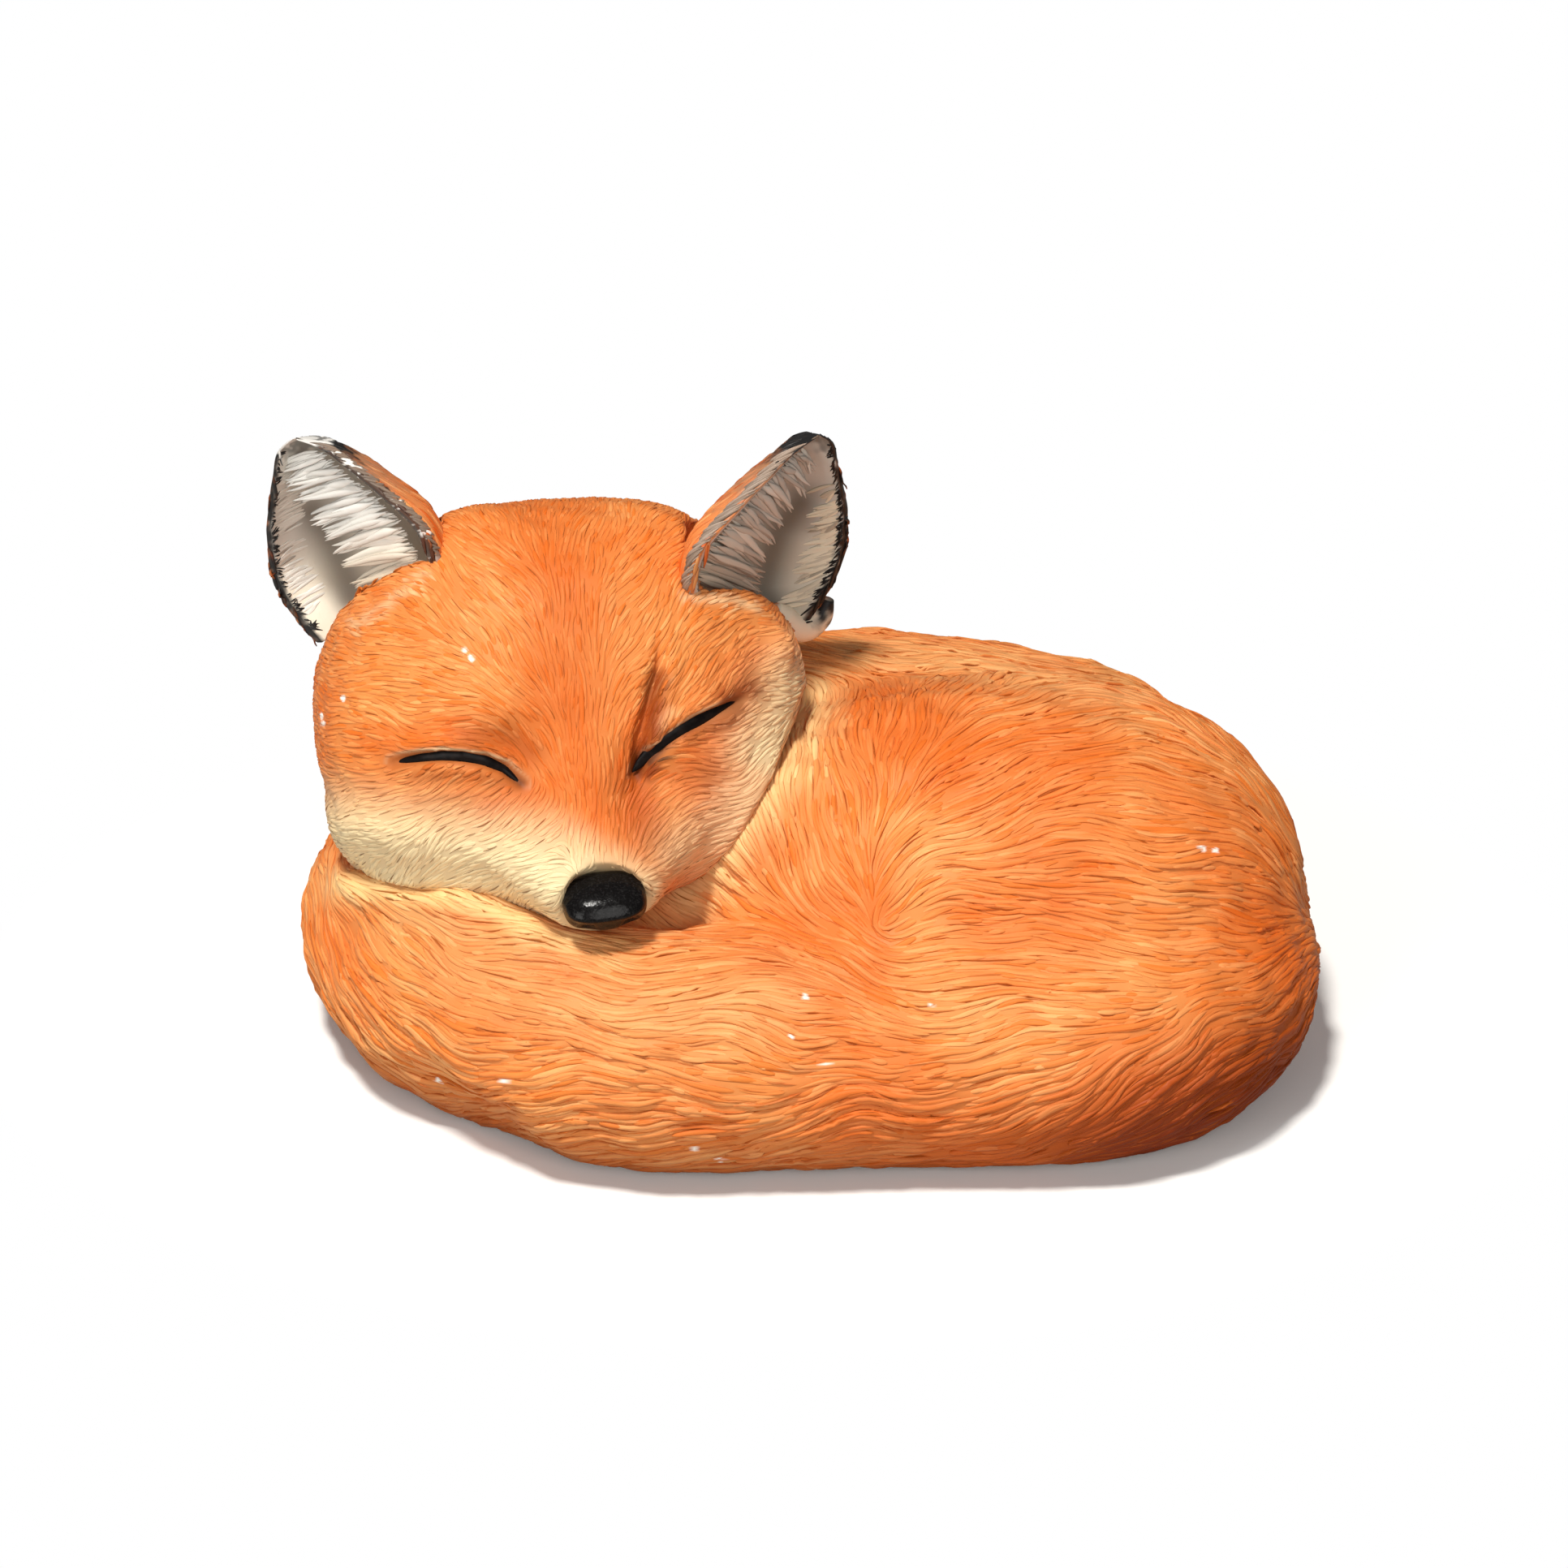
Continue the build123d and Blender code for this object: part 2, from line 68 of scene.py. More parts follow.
# Strokes of the coat, each from (x, y) to (x, y) on the sheet
BODY_STROKES = (
    # left of the parting
    (1000, 850, 985, 900), (1030, 845, 1035, 890), (1060, 850, 1063, 890), (1085, 850, 1082, 900),
    (960, 930, 945, 975), (985, 900, 975, 950), (1010, 900, 1008, 950), (1035, 900, 1037, 945),
    (1060, 900, 1060, 940), (1010, 960, 1020, 990), (1040, 950, 1055, 980), (1065, 960, 1075, 990),
    (1000, 980, 1010, 1020), (1030, 990, 1050, 1020), (960, 980, 962, 1030), (935, 1010, 945, 1050),
    (980, 1010, 985, 1060), (1010, 1030, 1040, 1055), (1040, 1030, 1065, 1055), (1080, 960, 1082, 1000),
    (1076, 1010, 1076, 1040), (950, 1050, 965, 1085), (980, 1070, 1000, 1100), (1005, 1050, 1030, 1070),
    (1020, 1080, 1045, 1105), (1060, 1060, 1058, 1095), (1060, 1110, 1062, 1150), (900, 1060, 915, 1085),
    (920, 1080, 950, 1095), (860, 1110, 900, 1125), (900, 1110, 940, 1125), (940, 1110, 985, 1130),
    (980, 1130, 1015, 1155), (1000, 1110, 1035, 1135), (1040, 1130, 1060, 1160), (1020, 1170, 1060, 1205),
    (975, 1150, 1020, 1175), (1050, 1180, 1090, 1205), (1070, 1170, 1095, 1195),
    # right of the parting
    (1100, 850, 1105, 900), (1120, 850, 1105, 900), (1140, 850, 1115, 900), (1165, 850, 1140, 890),
    (1190, 845, 1165, 880), (1220, 850, 1190, 875), (1250, 860, 1215, 880), (1100, 940, 1100, 975),
    (1110, 920, 1135, 890), (1110, 980, 1150, 945), (1150, 950, 1190, 920), (1200, 915, 1240, 895),
    (1095, 1000, 1130, 975), (1150, 985, 1195, 965), (1210, 960, 1250, 945), (1250, 950, 1290, 930),
    (1090, 1040, 1130, 1010), (1140, 1030, 1180, 1005), (1200, 1010, 1245, 1000), (1250, 1020, 1300, 1010),
    (1100, 1020, 1150, 1010), (1080, 1080, 1110, 1045), (1110, 1080, 1150, 1050), (1160, 1060, 1210, 1050),
    (1220, 1050, 1270, 1045), (1085, 1120, 1110, 1080), (1120, 1110, 1160, 1080), (1170, 1085, 1220, 1080),
    (1100, 1140, 1140, 1115), (1150, 1115, 1200, 1100), (1100, 1175, 1145, 1145), (1150, 1150, 1200, 1130),
    (1210, 1125, 1260, 1120), (1130, 1185, 1180, 1175), (1190, 1170, 1230, 1155), (1240, 1155, 1290, 1160),
    (1300, 1170, 1345, 1185), (1260, 880, 1300, 865), (1310, 900, 1360, 895), (1370, 880, 1420, 880),
    (1280, 930, 1330, 920), (1340, 950, 1400, 945), (1410, 930, 1460, 935), (1290, 970, 1340, 960),
    (1350, 985, 1400, 985), (1420, 960, 1480, 965), (1280, 1020, 1340, 1020), (1350, 1040, 1400, 1050),
    (1420, 1000, 1480, 1010), (1270, 1075, 1330, 1075), (1340, 1090, 1400, 1095), (1420, 1080, 1480, 1085),
    (1280, 1110, 1340, 1120), (1350, 1110, 1410, 1125), (1430, 1130, 1490, 1140), (1300, 1150, 1360, 1160),
    (1370, 1150, 1430, 1160), (1450, 1170, 1510, 1175), (1300, 1200, 1360, 1210), (1380, 1200, 1440, 1205),
    (1460, 1200, 1530, 1195), (1500, 930, 1530, 955), (1540, 970, 1570, 1000), (1490, 980, 1530, 1000),
    (1540, 1020, 1570, 1045), (1500, 1050, 1540, 1065), (1560, 1080, 1595, 1095), (1500, 1110, 1550, 1120),
    (1560, 1130, 1605, 1140), (1550, 1170, 1600, 1165), (1540, 1200, 1600, 1180), (1300, 830, 1340, 835),
    (1350, 850, 1400, 860), (1420, 860, 1460, 890), (1460, 890, 1500, 920), (1250, 820, 1290, 825),
    (1180, 810, 1230, 815), (1110, 800, 1160, 805), (1060, 790, 1100, 795), (1000, 810, 1050, 820),
    # lower haunch and the root of the tail
    (1200, 1210, 1260, 1215), (1280, 1230, 1340, 1235), (1360, 1235, 1420, 1235), (1440, 1240, 1500, 1225),
    (1520, 1215, 1570, 1195), (1220, 1260, 1290, 1260), (1310, 1265, 1380, 1255), (1400, 1260, 1460, 1245),
    (1480, 1255, 1530, 1230), (1540, 1240, 1575, 1210), (1580, 1230, 1595, 1200), (1200, 1300, 1260, 1295),
    (1280, 1295, 1340, 1275), (1360, 1290, 1420, 1265), (1440, 1290, 1490, 1265), (1500, 1290, 1540, 1260),
    (1550, 1280, 1575, 1245), (1240, 1340, 1290, 1320), (1310, 1330, 1360, 1300), (1380, 1330, 1430, 1295),
    (1450, 1320, 1490, 1290), (1510, 1320, 1540, 1285), (1240, 1380, 1290, 1355), (1310, 1380, 1350, 1350),
    (1370, 1370, 1410, 1340), (1430, 1350, 1470, 1320), (1490, 1340, 1520, 1310),
    # middle of the tail
    (1100, 1210, 1145, 1235), (1150, 1230, 1200, 1245), (1090, 1230, 1150, 1245), (1020, 1200, 1070, 1215),
    (1040, 1240, 1000, 1240), (1100, 1270, 1040, 1265), (1180, 1280, 1110, 1280), (960, 1200, 900, 1205),
    (900, 1150, 850, 1150), (960, 1160, 900, 1160), (860, 1180, 800, 1180), (900, 1225, 850, 1245),
    (980, 1235, 930, 1242), (870, 1225, 820, 1250), (960, 1270, 1000, 1290), (900, 1270, 940, 1295),
    (850, 1280, 890, 1300), (980, 1300, 930, 1290), (1050, 1300, 1000, 1305), (1120, 1300, 1060, 1300),
    (1180, 1320, 1110, 1325), (1120, 1335, 1060, 1345), (1060, 1345, 1000, 1350), (1000, 1330, 940, 1330),
    (930, 1330, 870, 1330), (860, 1330, 820, 1325), (1200, 1335, 1150, 1350), (1150, 1350, 1100, 1360),
    (1100, 1370, 1050, 1385), (1050, 1365, 1000, 1385), (1000, 1370, 950, 1385), (940, 1370, 880, 1385),
    (880, 1360, 820, 1360), (1200, 1390, 1150, 1395), (1140, 1380, 1090, 1395), (1080, 1395, 1030, 1405),
    (1020, 1400, 970, 1415), (960, 1390, 900, 1405), (890, 1395, 840, 1405),
    # left half of the tail
    (840, 1200, 780, 1190), (780, 1170, 730, 1165), (850, 1255, 800, 1265), (800, 1250, 750, 1262),
    (840, 1290, 780, 1275), (780, 1280, 720, 1272), (830, 1310, 770, 1290), (760, 1300, 710, 1285),
    (740, 1220, 700, 1235), (760, 1240, 700, 1250), (700, 1195, 640, 1185), (700, 1235, 650, 1215),
    (690, 1270, 630, 1280), (690, 1165, 650, 1160), (640, 1160, 580, 1165), (640, 1240, 600, 1235),
    (600, 1190, 550, 1175), (620, 1225, 580, 1205), (560, 1165, 520, 1155), (540, 1130, 480, 1115),
    (500, 1145, 470, 1120), (620, 1130, 560, 1120), (450, 1110, 420, 1095), (520, 1100, 460, 1095),
    (600, 1255, 550, 1235), (590, 1275, 540, 1255), (560, 1220, 520, 1190), (520, 1225, 475, 1200),
    (480, 1200, 455, 1180), (530, 1260, 490, 1225), (490, 1250, 455, 1205), (460, 1230, 435, 1180),
    (470, 1170, 455, 1140), (440, 1160, 430, 1120), (420, 1180, 410, 1130), (400, 1150, 398, 1100),
    (430, 1210, 415, 1170), (410, 1080, 402, 1055), (395, 1120, 392, 1085), (520, 1290, 475, 1260),
    (480, 1290, 450, 1250), (560, 1300, 520, 1280), (540, 1310, 490, 1295), (600, 1290, 560, 1275),
    (640, 1300, 590, 1290), (700, 1310, 640, 1310), (760, 1330, 700, 1320), (680, 1335, 620, 1330),
    (820, 1340, 760, 1330), (640, 1350, 590, 1345), (720, 1355, 660, 1350), (800, 1370, 730, 1365),
    (700, 1385, 640, 1380), (780, 1390, 720, 1395), (840, 1390, 780, 1395), (720, 1405, 690, 1412),
    (660, 1390, 620, 1375), (560, 1330, 510, 1320), (500, 1310, 470, 1290),
)
# Strokes on the far sides, which the sheet doesn't show: a place and a direction
BODY_FAR_STROKES = (
    ((-75, 15, 25), (0.1, -0.9, 0.4)), ((-70, 32, 20), (0.7, 0.6, 0.2)), ((-55, 45, 15), (0.9, 0.3, 0.0)),
    ((-30, 50, 30), (1.0, 0.1, 0.1)), ((0, 56, 25), (1.0, 0.0, 0.0)), ((30, 55, 30), (1.0, 0.0, -0.1)),
    ((55, 45, 30), (0.9, -0.3, -0.1)), ((75, 25, 30), (0.4, -0.9, -0.2)), ((85, 5, 25), (0.1, -1.0, 0.1)),
    ((0, 45, 48), (1.0, 0.1, 0.0)), ((40, 40, 48), (1.0, -0.2, -0.1)), ((-30, 35, 48), (1.0, 0.2, 0.0)),
    ((65, 35, 12), (0.8, -0.6, 0.1)), ((20, 56, 10), (1.0, 0.0, 0.2)), ((-20, 54, 10), (1.0, 0.0, 0.2)),
    ((88, -10, 12), (0.1, -1.0, 0.3)), ((86, 5, 8), (0.2, -0.9, 0.2)),
)
HEAD_STROKES = (
    # forehead, from the bridge of the nose up and outwards
    (737, 1028, 737, 1000), (720, 1000, 705, 970), (755, 1000, 755, 965), (725, 960, 718, 930),
    (735, 950, 738, 915), (700, 930, 690, 905), (745, 900, 750, 870), (760, 950, 770, 920),
    (717, 880, 712, 845), (735, 870, 740, 840), (690, 880, 675, 850), (700, 840, 695, 800),
    (720, 820, 720, 780), (740, 830, 752, 790), (760, 860, 775, 830), (705, 770, 702, 735),
    (725, 760, 735, 725), (680, 820, 660, 780), (670, 780, 650, 745), (690, 740, 680, 700),
    (650, 840, 620, 810), (660, 870, 635, 845), (640, 800, 610, 770), (630, 760, 605, 730),
    (700, 700, 695, 665), (730, 700, 745, 670), (720, 660, 728, 635), (660, 720, 640, 690),
    (640, 690, 620, 665), (750, 760, 775, 730), (770, 790, 790, 765), (780, 720, 800, 690),
    (760, 690, 780, 660), (790, 680, 810, 655), (590, 790, 555, 765), (580, 740, 555, 715),
    (600, 700, 580, 680), (560, 700, 535, 685), (550, 800, 510, 780), (530, 740, 495, 725),
    (510, 760, 470, 745), (480, 760, 440, 765), (600, 840, 560, 820), (570, 850, 520, 835),
    (530, 820, 490, 810), (480, 800, 435, 795), (440, 780, 410, 785), (470, 830, 420, 825),
    (520, 860, 470, 850), (450, 860, 405, 855), (640, 880, 600, 860), (610, 880, 570, 865),
    (570, 880, 520, 872), (510, 890, 460, 880), (450, 890, 400, 885), (660, 920, 640, 890),
    (620, 915, 590, 895), (580, 905, 540, 895), (540, 910, 490, 905), (480, 910, 420, 910),
    (410, 920, 390, 918), (460, 935, 410, 932), (440, 960, 400, 955), (400, 950, 392, 945),
    # under the left eye
    (630, 975, 605, 995), (600, 960, 575, 985), (570, 965, 540, 990), (540, 965, 505, 990),
    (505, 965, 470, 985), (475, 960, 440, 980), (440, 985, 410, 995), (660, 1000, 640, 1020),
    (625, 1005, 595, 1025), (590, 1005, 560, 1028), (550, 1010, 515, 1030), (510, 1005, 470, 1025),
    (465, 1010, 430, 1025), (420, 1010, 395, 1015), (690, 1020, 665, 1030), (655, 1035, 630, 1050),
    (615, 1040, 590, 1060), (575, 1040, 550, 1065), (530, 1045, 505, 1070), (490, 1045, 470, 1070),
    (450, 1045, 430, 1065), (415, 1040, 400, 1050), (700, 1045, 675, 1050), (690, 1070, 660, 1070),
    (650, 1065, 620, 1080), (610, 1075, 590, 1095), (570, 1075, 550, 1090), (530, 1075, 515, 1088),
    (480, 1070, 465, 1083), (445, 1070, 435, 1080), (695, 1090, 665, 1090), (660, 1085, 635, 1095),
    (630, 1095, 610, 1110), (690, 1110, 660, 1115), (660, 1105, 630, 1120), (690, 1130, 660, 1132),
    (655, 1125, 640, 1135),
    # bridge and above the nose
    (720, 1040, 712, 1015), (745, 1050, 745, 1025), (765, 1050, 765, 1020), (712, 1065, 700, 1045),
    (730, 1065, 725, 1045), (755, 1068, 756, 1045), (775, 1065, 780, 1040),
    # right of the bridge
    (770, 1010, 775, 985), (775, 980, 785, 960), (785, 1000, 800, 985), (790, 1030, 815, 1010),
    (800, 1060, 825, 1045), (800, 1080, 820, 1065), (805, 1095, 822, 1085), (820, 990, 850, 985),
    (830, 1020, 860, 1010), (840, 1050, 870, 1040), (860, 1000, 890, 990), (880, 1030, 905, 1015),
    (870, 1060, 885, 1045), (830, 1075, 850, 1065), (850, 970, 880, 968), (890, 970, 920, 960),
    (900, 1000, 920, 985), (830, 955, 860, 955), (870, 950, 900, 940), (910, 935, 940, 925),
    (930, 960, 945, 945), (840, 930, 870, 928), (880, 920, 905, 905), (890, 890, 912, 880),
    (920, 905, 955, 895), (950, 920, 965, 905), (930, 880, 965, 870), (950, 850, 980, 840),
    (960, 890, 980, 880),
    # right brow and temple
    (770, 900, 780, 870), (785, 860, 800, 830), (790, 830, 805, 800), (820, 870, 830, 845),
    (835, 880, 860, 860), (830, 830, 850, 800), (850, 850, 875, 825), (870, 865, 900, 845),
    (860, 800, 885, 775), (820, 790, 845, 765), (800, 780, 815, 755), (830, 750, 850, 735),
    (870, 770, 900, 750), (890, 820, 915, 795), (910, 800, 930, 780), (910, 760, 930, 755),
    (930, 820, 950, 805), (940, 790, 960, 780), (790, 740, 805, 715), (815, 720, 825, 700),
)
HEAD_FAR_STROKES = (
    ((-38, 15, 90), (0.0, 1.0, -0.2)), ((-38, 26, 70), (0.0, 0.4, -1.0)), ((-60, 15, 80), (-0.4, 0.8, -0.4)),
    ((-15, 18, 80), (0.4, 0.8, -0.4)), ((-75, 5, 60), (0.0, 0.9, -0.4)), ((0, 10, 62), (0.1, 0.9, -0.4)),
    ((-55, 24, 55), (-0.2, 0.4, -0.9)), ((-20, 26, 60), (0.2, 0.4, -0.9)), ((-38, 5, 95), (0.0, 1.0, 0.0)),
)

# Eye slits on the sheet, from the outer to the inner corner
LEFT_SLIT = (
    (484, 940), (497, 937), (520, 933), (545, 931), (570, 932), (598, 937), (622, 947), (643, 966),
)
RIGHT_SLIT = (
    (914, 862), (900, 868), (880, 878), (860, 888), (840, 899),
    (820, 912), (803, 928), (790, 941), (781, 952),
)

# Brushes: a place on the sheet, a radius and how far the skin moves outwards there, in millimetres
HEAD_BRUSHES = (
    (645, 930, 4.5, -2.2), (580, 885, 6.0, 1.5), (690, 985, 4.0, -1.2), (785, 985, 4.0, -1.3),
    (735, 950, 4.5, 1.1), (545, 985, 7.0, 0.8), (792, 945, 3.5, -1.6), (984, 786, 2.6, 2.6),
    (845, 835, 6.0, 1.0), (640, 1065, 6.0, 0.7), (500, 1035, 8.0, 0.8),
)
BODY_BRUSHES = (
    (955, 965, 6.0, 2.0), (925, 1015, 7.0, 3.0), (895, 1055, 6.0, 2.5), (1400, 850, 9.0, 1.2),
    (1480, 890, 9.0, 0.6), (500, 1352, 6.0, -1.6), (555, 1378, 7.0, -2.8), (625, 1404, 6.0, -2.2),
)
# Brushes that move the skin up on the sheet, or up and towards the camera
HEAD_LIFTS = ((555, 665, 8.0, 3.6), (825, 655, 8.0, 2.6), (690, 640, 12.0, -0.9), (746, 1070, 3.2, -1.8))
TAIL_LIP = (
    (435, 1098, 4.5, 1.6), (490, 1110, 4.5, 2.4), (545, 1116, 4.5, 2.8), (600, 1126, 4.5, 3.2),
    (650, 1152, 4.0, 2.2),
)
TAIL_LIP_WAY = 0.75 * SHEET_UP + 0.75 * TO_EYE

# The right cheek ends where the haunch covers it: rows of the sheet and the column in each
CHEEK_ROWS = (780, 850, 960, 1030, 1060, 1100, 1150)
CHEEK_ENDS = (1040, 987, 947, 907, 882, 832, 780)
# The chin ends where the tail covers it: columns of the sheet and the row in each
CHIN_COLUMNS = (350, 392, 430, 500, 600, 640, 690, 760)
CHIN_ENDS = (1030, 1045, 1077, 1090, 1102, 1132, 1155, 1175)
# How far the tail's rim comes forward and how far the chin goes back, in millimetres, by column
RIM_COLUMNS = (380, 420, 480, 540, 600, 660, 720)
RIM_FORWARD = (0.0, 5.0, 3.5, 2.5, 1.5, 1.0, 0.0)
TUCK_COLUMNS = (400, 440, 480, 540, 580, 640, 690)
TUCK_BACK = (9.0, 8.0, 5.5, 4.5, 1.8, 1.8, 0.0)

# Folds on the sheet: along the top of the back, and between the right brow and the bridge of the nose
BACK_FOLD = ((1000, 852), (1090, 842), (1200, 842), (1300, 855), (1380, 876), (1440, 908))
BROW = ((812, 822), (803, 850), (796, 880), (789, 910), (783, 935))

# Passes of strands on the body: whether on the low tail, the grid of seeds, the shortest and longest strand,
# the spacing, the bend, the rows of corners, half the width and the height
BODY_PASSES = (
    (False, 0.8, (8.0, 26.0), 0.95, 0.016, 14, 0.62, 0.26),
    (False, 0.75, (4.0, 15.0), 0.85, 0.022, 11, 0.54, 0.26),
    (True, 1.0, (10.0, 28.0), 1.15, 0.018, 15, 0.78, 0.46),
    (True, 0.9, (5.0, 16.0), 1.0, 0.022, 12, 0.66, 0.42),
    (False, 1.1, (6.0, 22.0), 2.0, 0.03, 14, 0.14, 0.28),
    (True, 1.3, (6.0, 20.0), 1.9, 0.04, 14, 0.19, 0.46),
)
# Passes on the head and on an ear's back: shortest and longest strand, spacing, rows, half width, height
HEAD_PASSES = (
    ((4.0, 12.0), 0.75, 10, 0.44, 0.16), ((2.5, 7.0), 0.65, 8, 0.38, 0.15), ((3.0, 8.0), 1.3, 8, 0.10, 0.17),
)
EAR_PASSES = (((4.0, 11.0), 0.9, 8, 0.5, 0.17), ((3.0, 8.0), 1.6, 8, 0.11, 0.19))
# Strands under this half width are dark lines
LINE_WIDTH = 0.2

# Zones of paint: a line on the sheet, a radius and a strength
BODY_PALE = (
    (((1000, 855), (985, 900), (950, 960), (915, 1010), (880, 1060), (850, 1105)), 32, 0.85),
    (((420, 1090), (500, 1095), (560, 1100), (610, 1115), (645, 1140), (700, 1155)), 22, 0.85),
    (((860, 1130), (800, 1150), (720, 1165)), 22, 0.35),
    (((560, 1190), (700, 1225), (850, 1255), (960, 1225)), 48, 0.22),
    (((500, 1130), (640, 1170), (760, 1185)), 26, 0.3),
    (((1050, 805), (1250, 822), (1400, 862)), 24, 0.3),
)
BODY_RED = (
    (((1090, 900), (1200, 925), (1340, 935)), 62, 0.62), (((1440, 960), (1560, 1090)), 70, 0.35),
    (((1560, 1130), (1590, 1200)), 55, 0.8), (((1085, 1060), (1080, 1195)), 26, 0.45),
    (((1180, 1120), (1300, 1130)), 40, 0.35), (((420, 1150), (450, 1230)), 30, 0.4),
    (((900, 1180), (980, 1200)), 24, 0.3), (((700, 1200), (780, 1225)), 22, 0.25),
)
HEAD_PALE = (
    (((985, 850), (965, 900), (945, 925)), 50, 0.95),
    (((940, 955), (910, 1000), (880, 1030), (845, 1060)), 44, 0.62),
    # The first zone on the next line is a painted highlight on the ridge of the right upper lid
    (((812, 893), (826, 878)), 9, 0.25), (((700, 1075), (690, 1120)), 20, 0.3),
    (((435, 772), (480, 745), (524, 706)), 7, 0.4), (((845, 738), (900, 738), (935, 750)), 6, 0.5),
    (((984, 775), (996, 770)), 14, 0.6),
)
HEAD_RED = (
    (((450, 915), (540, 905), (640, 925)), 24, 0.55), (((697, 690), (705, 860)), 50, 0.5),
    # The second zone on the next line is painted shade beside the right of the nose bridge
    (((737, 1000), (717, 947), (705, 860)), 26, 0.5), (((792, 880), (778, 950), (785, 1000)), 26, 0.75),
    (((600, 990), (650, 985), (690, 960)), 20, 0.45), (((860, 860), (930, 800)), 26, 0.35),
    (((400, 850), (398, 930)), 18, 0.4), (((850, 940), (905, 900)), 24, 0.5),
    (((840, 965), (885, 985)), 28, 0.4),
)
# Painted shade in the brow's fold, round the eyes and right of the nose bridge; a faint darkening
# mid-forehead
HEAD_SHADE = (
    (((700, 700), (705, 860)), 55, 0.13), (((785, 962), (790, 1000), (802, 1030)), 34, 0.42),
    (((812, 835), (806, 870), (803, 893), (790, 925), (786, 955)), 14, 0.85),
    (((800, 955), (806, 948)), 13, 0.9), (((815, 952), (868, 950)), 20, 0.35),
    (((896, 862), (922, 846)), 17, 0.85), (((845, 905), (890, 886), (912, 870)), 12, 0.6),
    (((575, 905), (620, 904), (655, 925)), 22, 0.4), (((515, 956), (580, 957), (635, 968)), 13, 0.42),
    (((520, 986), (610, 986)), 18, 0.25),
)
HEAD_BLACK = (
    (((800, 938), (824, 910)), 8, 0.8), (((622, 949), (642, 965)), 7, 0.7),
    (((786, 952), (800, 930)), 8, 0.45),
)
# The cream of the muzzle starts under a line: columns of the sheet, the row in each and how soft the edge is
CREAM_COLUMNS = (300, 395, 490, 600, 680, 720, 745, 800)
CREAM_STARTS = (975, 985, 1003, 1018, 1034, 1044, 1058, 1080)
BLUR_COLUMNS = (400, 600, 680, 735)
CREAM_BLUR = (54, 52, 60, 40)
# Chips of bare white: a place on the sheet and a size
BODY_CHIPS = (
    (993, 1228, 2.8), (1483, 1044, 4.0), (1497, 1048, 3.6), (975, 1277, 2.5), (1018, 1312, 2.8),
    (1148, 1239, 2.5), (540, 1331, 2.4), (620, 1331, 2.8), (858, 1415, 3.0), (887, 1429, 3.0),
)
HEAD_CHIPS = ((573, 802, 3.2), (580, 812, 3.2), (423, 860, 3.2), (396, 882, 3.0), (398, 891, 2.6))

# Body, in millimetres: a lid closes the open underside, and faces in the hollow and its mouth are left out
LID_MIDDLE = (8, 3)
LID_RADII = (54, 30)
LID_LEVELS = (5.0, 7.5)
LID_SIDES = 64
HOLLOW_MIDDLE = (22, 6, 21.5)
HOLLOW_REACH = (56, 38, 28)
MOUTH_REACH = (55, 31)
MOUTH_TOP = 24
INNER_BOTTOM = 6.2
BODY_BOTTOM = 1.0
# Heights between which smoothing and relief set in above the foot, and where fur starts
FOOT_SMOOTH = (1.5, 5.0)
FOOT_RELIEF = (1.4, 4.0)
FOOT_FUR = 1.6
# The low part of the tail has coarser strands: the height of its top, and how far back it reaches
TAIL_TOP = 19
TAIL_BACK = -26
# Clumps: broad furrows under the strands
CLUMP_CELL = 2.5
CLUMP_LENGTHS = (10.0, 30.0)
CLUMP_SPACING = 3.2
CLUMP_BEND = 0.01
CLUMP_WIDTH = 0.95
CLUMP_TAPER = 0.8
# Relief of the body: heights of long waves and of the clumps, depths of the grooves and of the back's fold
BODY_WAVES = 0.25
CLUMP_SWELL = 0.3
CLUMP_GROOVE = 0.75
BACK_FOLD_DEPTH = 0.35
# How far a guide stroke reaches, and the length of the waves in the flow
BODY_REACH = 6.0
BODY_SWEEP = 9.0
HEAD_REACH = 4.0
HEAD_SWEEP = 6.0
# How deep strands are sunk in, how much they bend, and how far along the sheet their tone moves their colour
BODY_SINK = 0.3
HEAD_SINK = 0.2
EAR_SINK = 0.15
HEAD_BEND = 0.018
EAR_BEND = 0.02
BODY_SCATTER = (5, 3)
HEAD_SCATTER = (3, 4)

# Edges of cheek and chin, the tail's rim, the back's fold and the left jowl, in units of the sheet;
# how far the jowl goes out and the depths of the tuck are in millimetres
EDGE_BULGE = 5
EDGE_REACH = 14
RIM_DROP = 10
RIM_REACH = 42
BACK_FOLD_REACH = 15
JOWL = (405, 1035)
JOWL_REACH = (45, 35)
JOWL_OUT = 1.4
CHEEK_FROM = (800, 860)
CHIN_TO = (720, 660)
TUCK_ROWS = (-64, 2)
TUCK_DEPTHS = (-6, -18)
RIM_DEPTHS = (0, -10)

# Painted shade: the foot and the lower right end of the body, where shade falls, are painted darker and
# redder:
# strengths with heights in millimetres, and rows and columns of the sheet
FOOT_SHADE = ((0.46, 20, 2), (0.3, 8, 1))
SHADE_HEIGHTS = (40, 30)
END_COLUMN = 1270
END_WIDTH = 400
END_SLOPE = 0.45
END_SHADE_ROWS = (1310, 1490)
END_SHADE_COLUMNS = (1100, 1400)
END_SHADE_RED_ROWS = (1280, 1450)
END_SHADE_RED_COLUMNS = (1050, 1350)

# Eyes, in millimetres: the relief round a slit has a height, a place above the slit and a reach in each row
EYES = ("left_eye", "right_eye")
EYE_PLUG = (1.06, 1.06, 1.25)
EYE_THICK = (1.2, 1.45)
EYE_SINK = 0.6
EYELID_RELIEF = ((-1.5, 0.0, 0.75), (0.9, 2.2, 1.5), (0.5, -2.0, 1.3))
EYELID_REACH = 12
FAR_AWAY = 99
# The brow's relief: a height in millimetres, a place beside the fold and a reach on the sheet in each row
BROW_RELIEF = ((1.1, 22, 13), (-1.9, 2, 9))
BROW_NEAR = 26

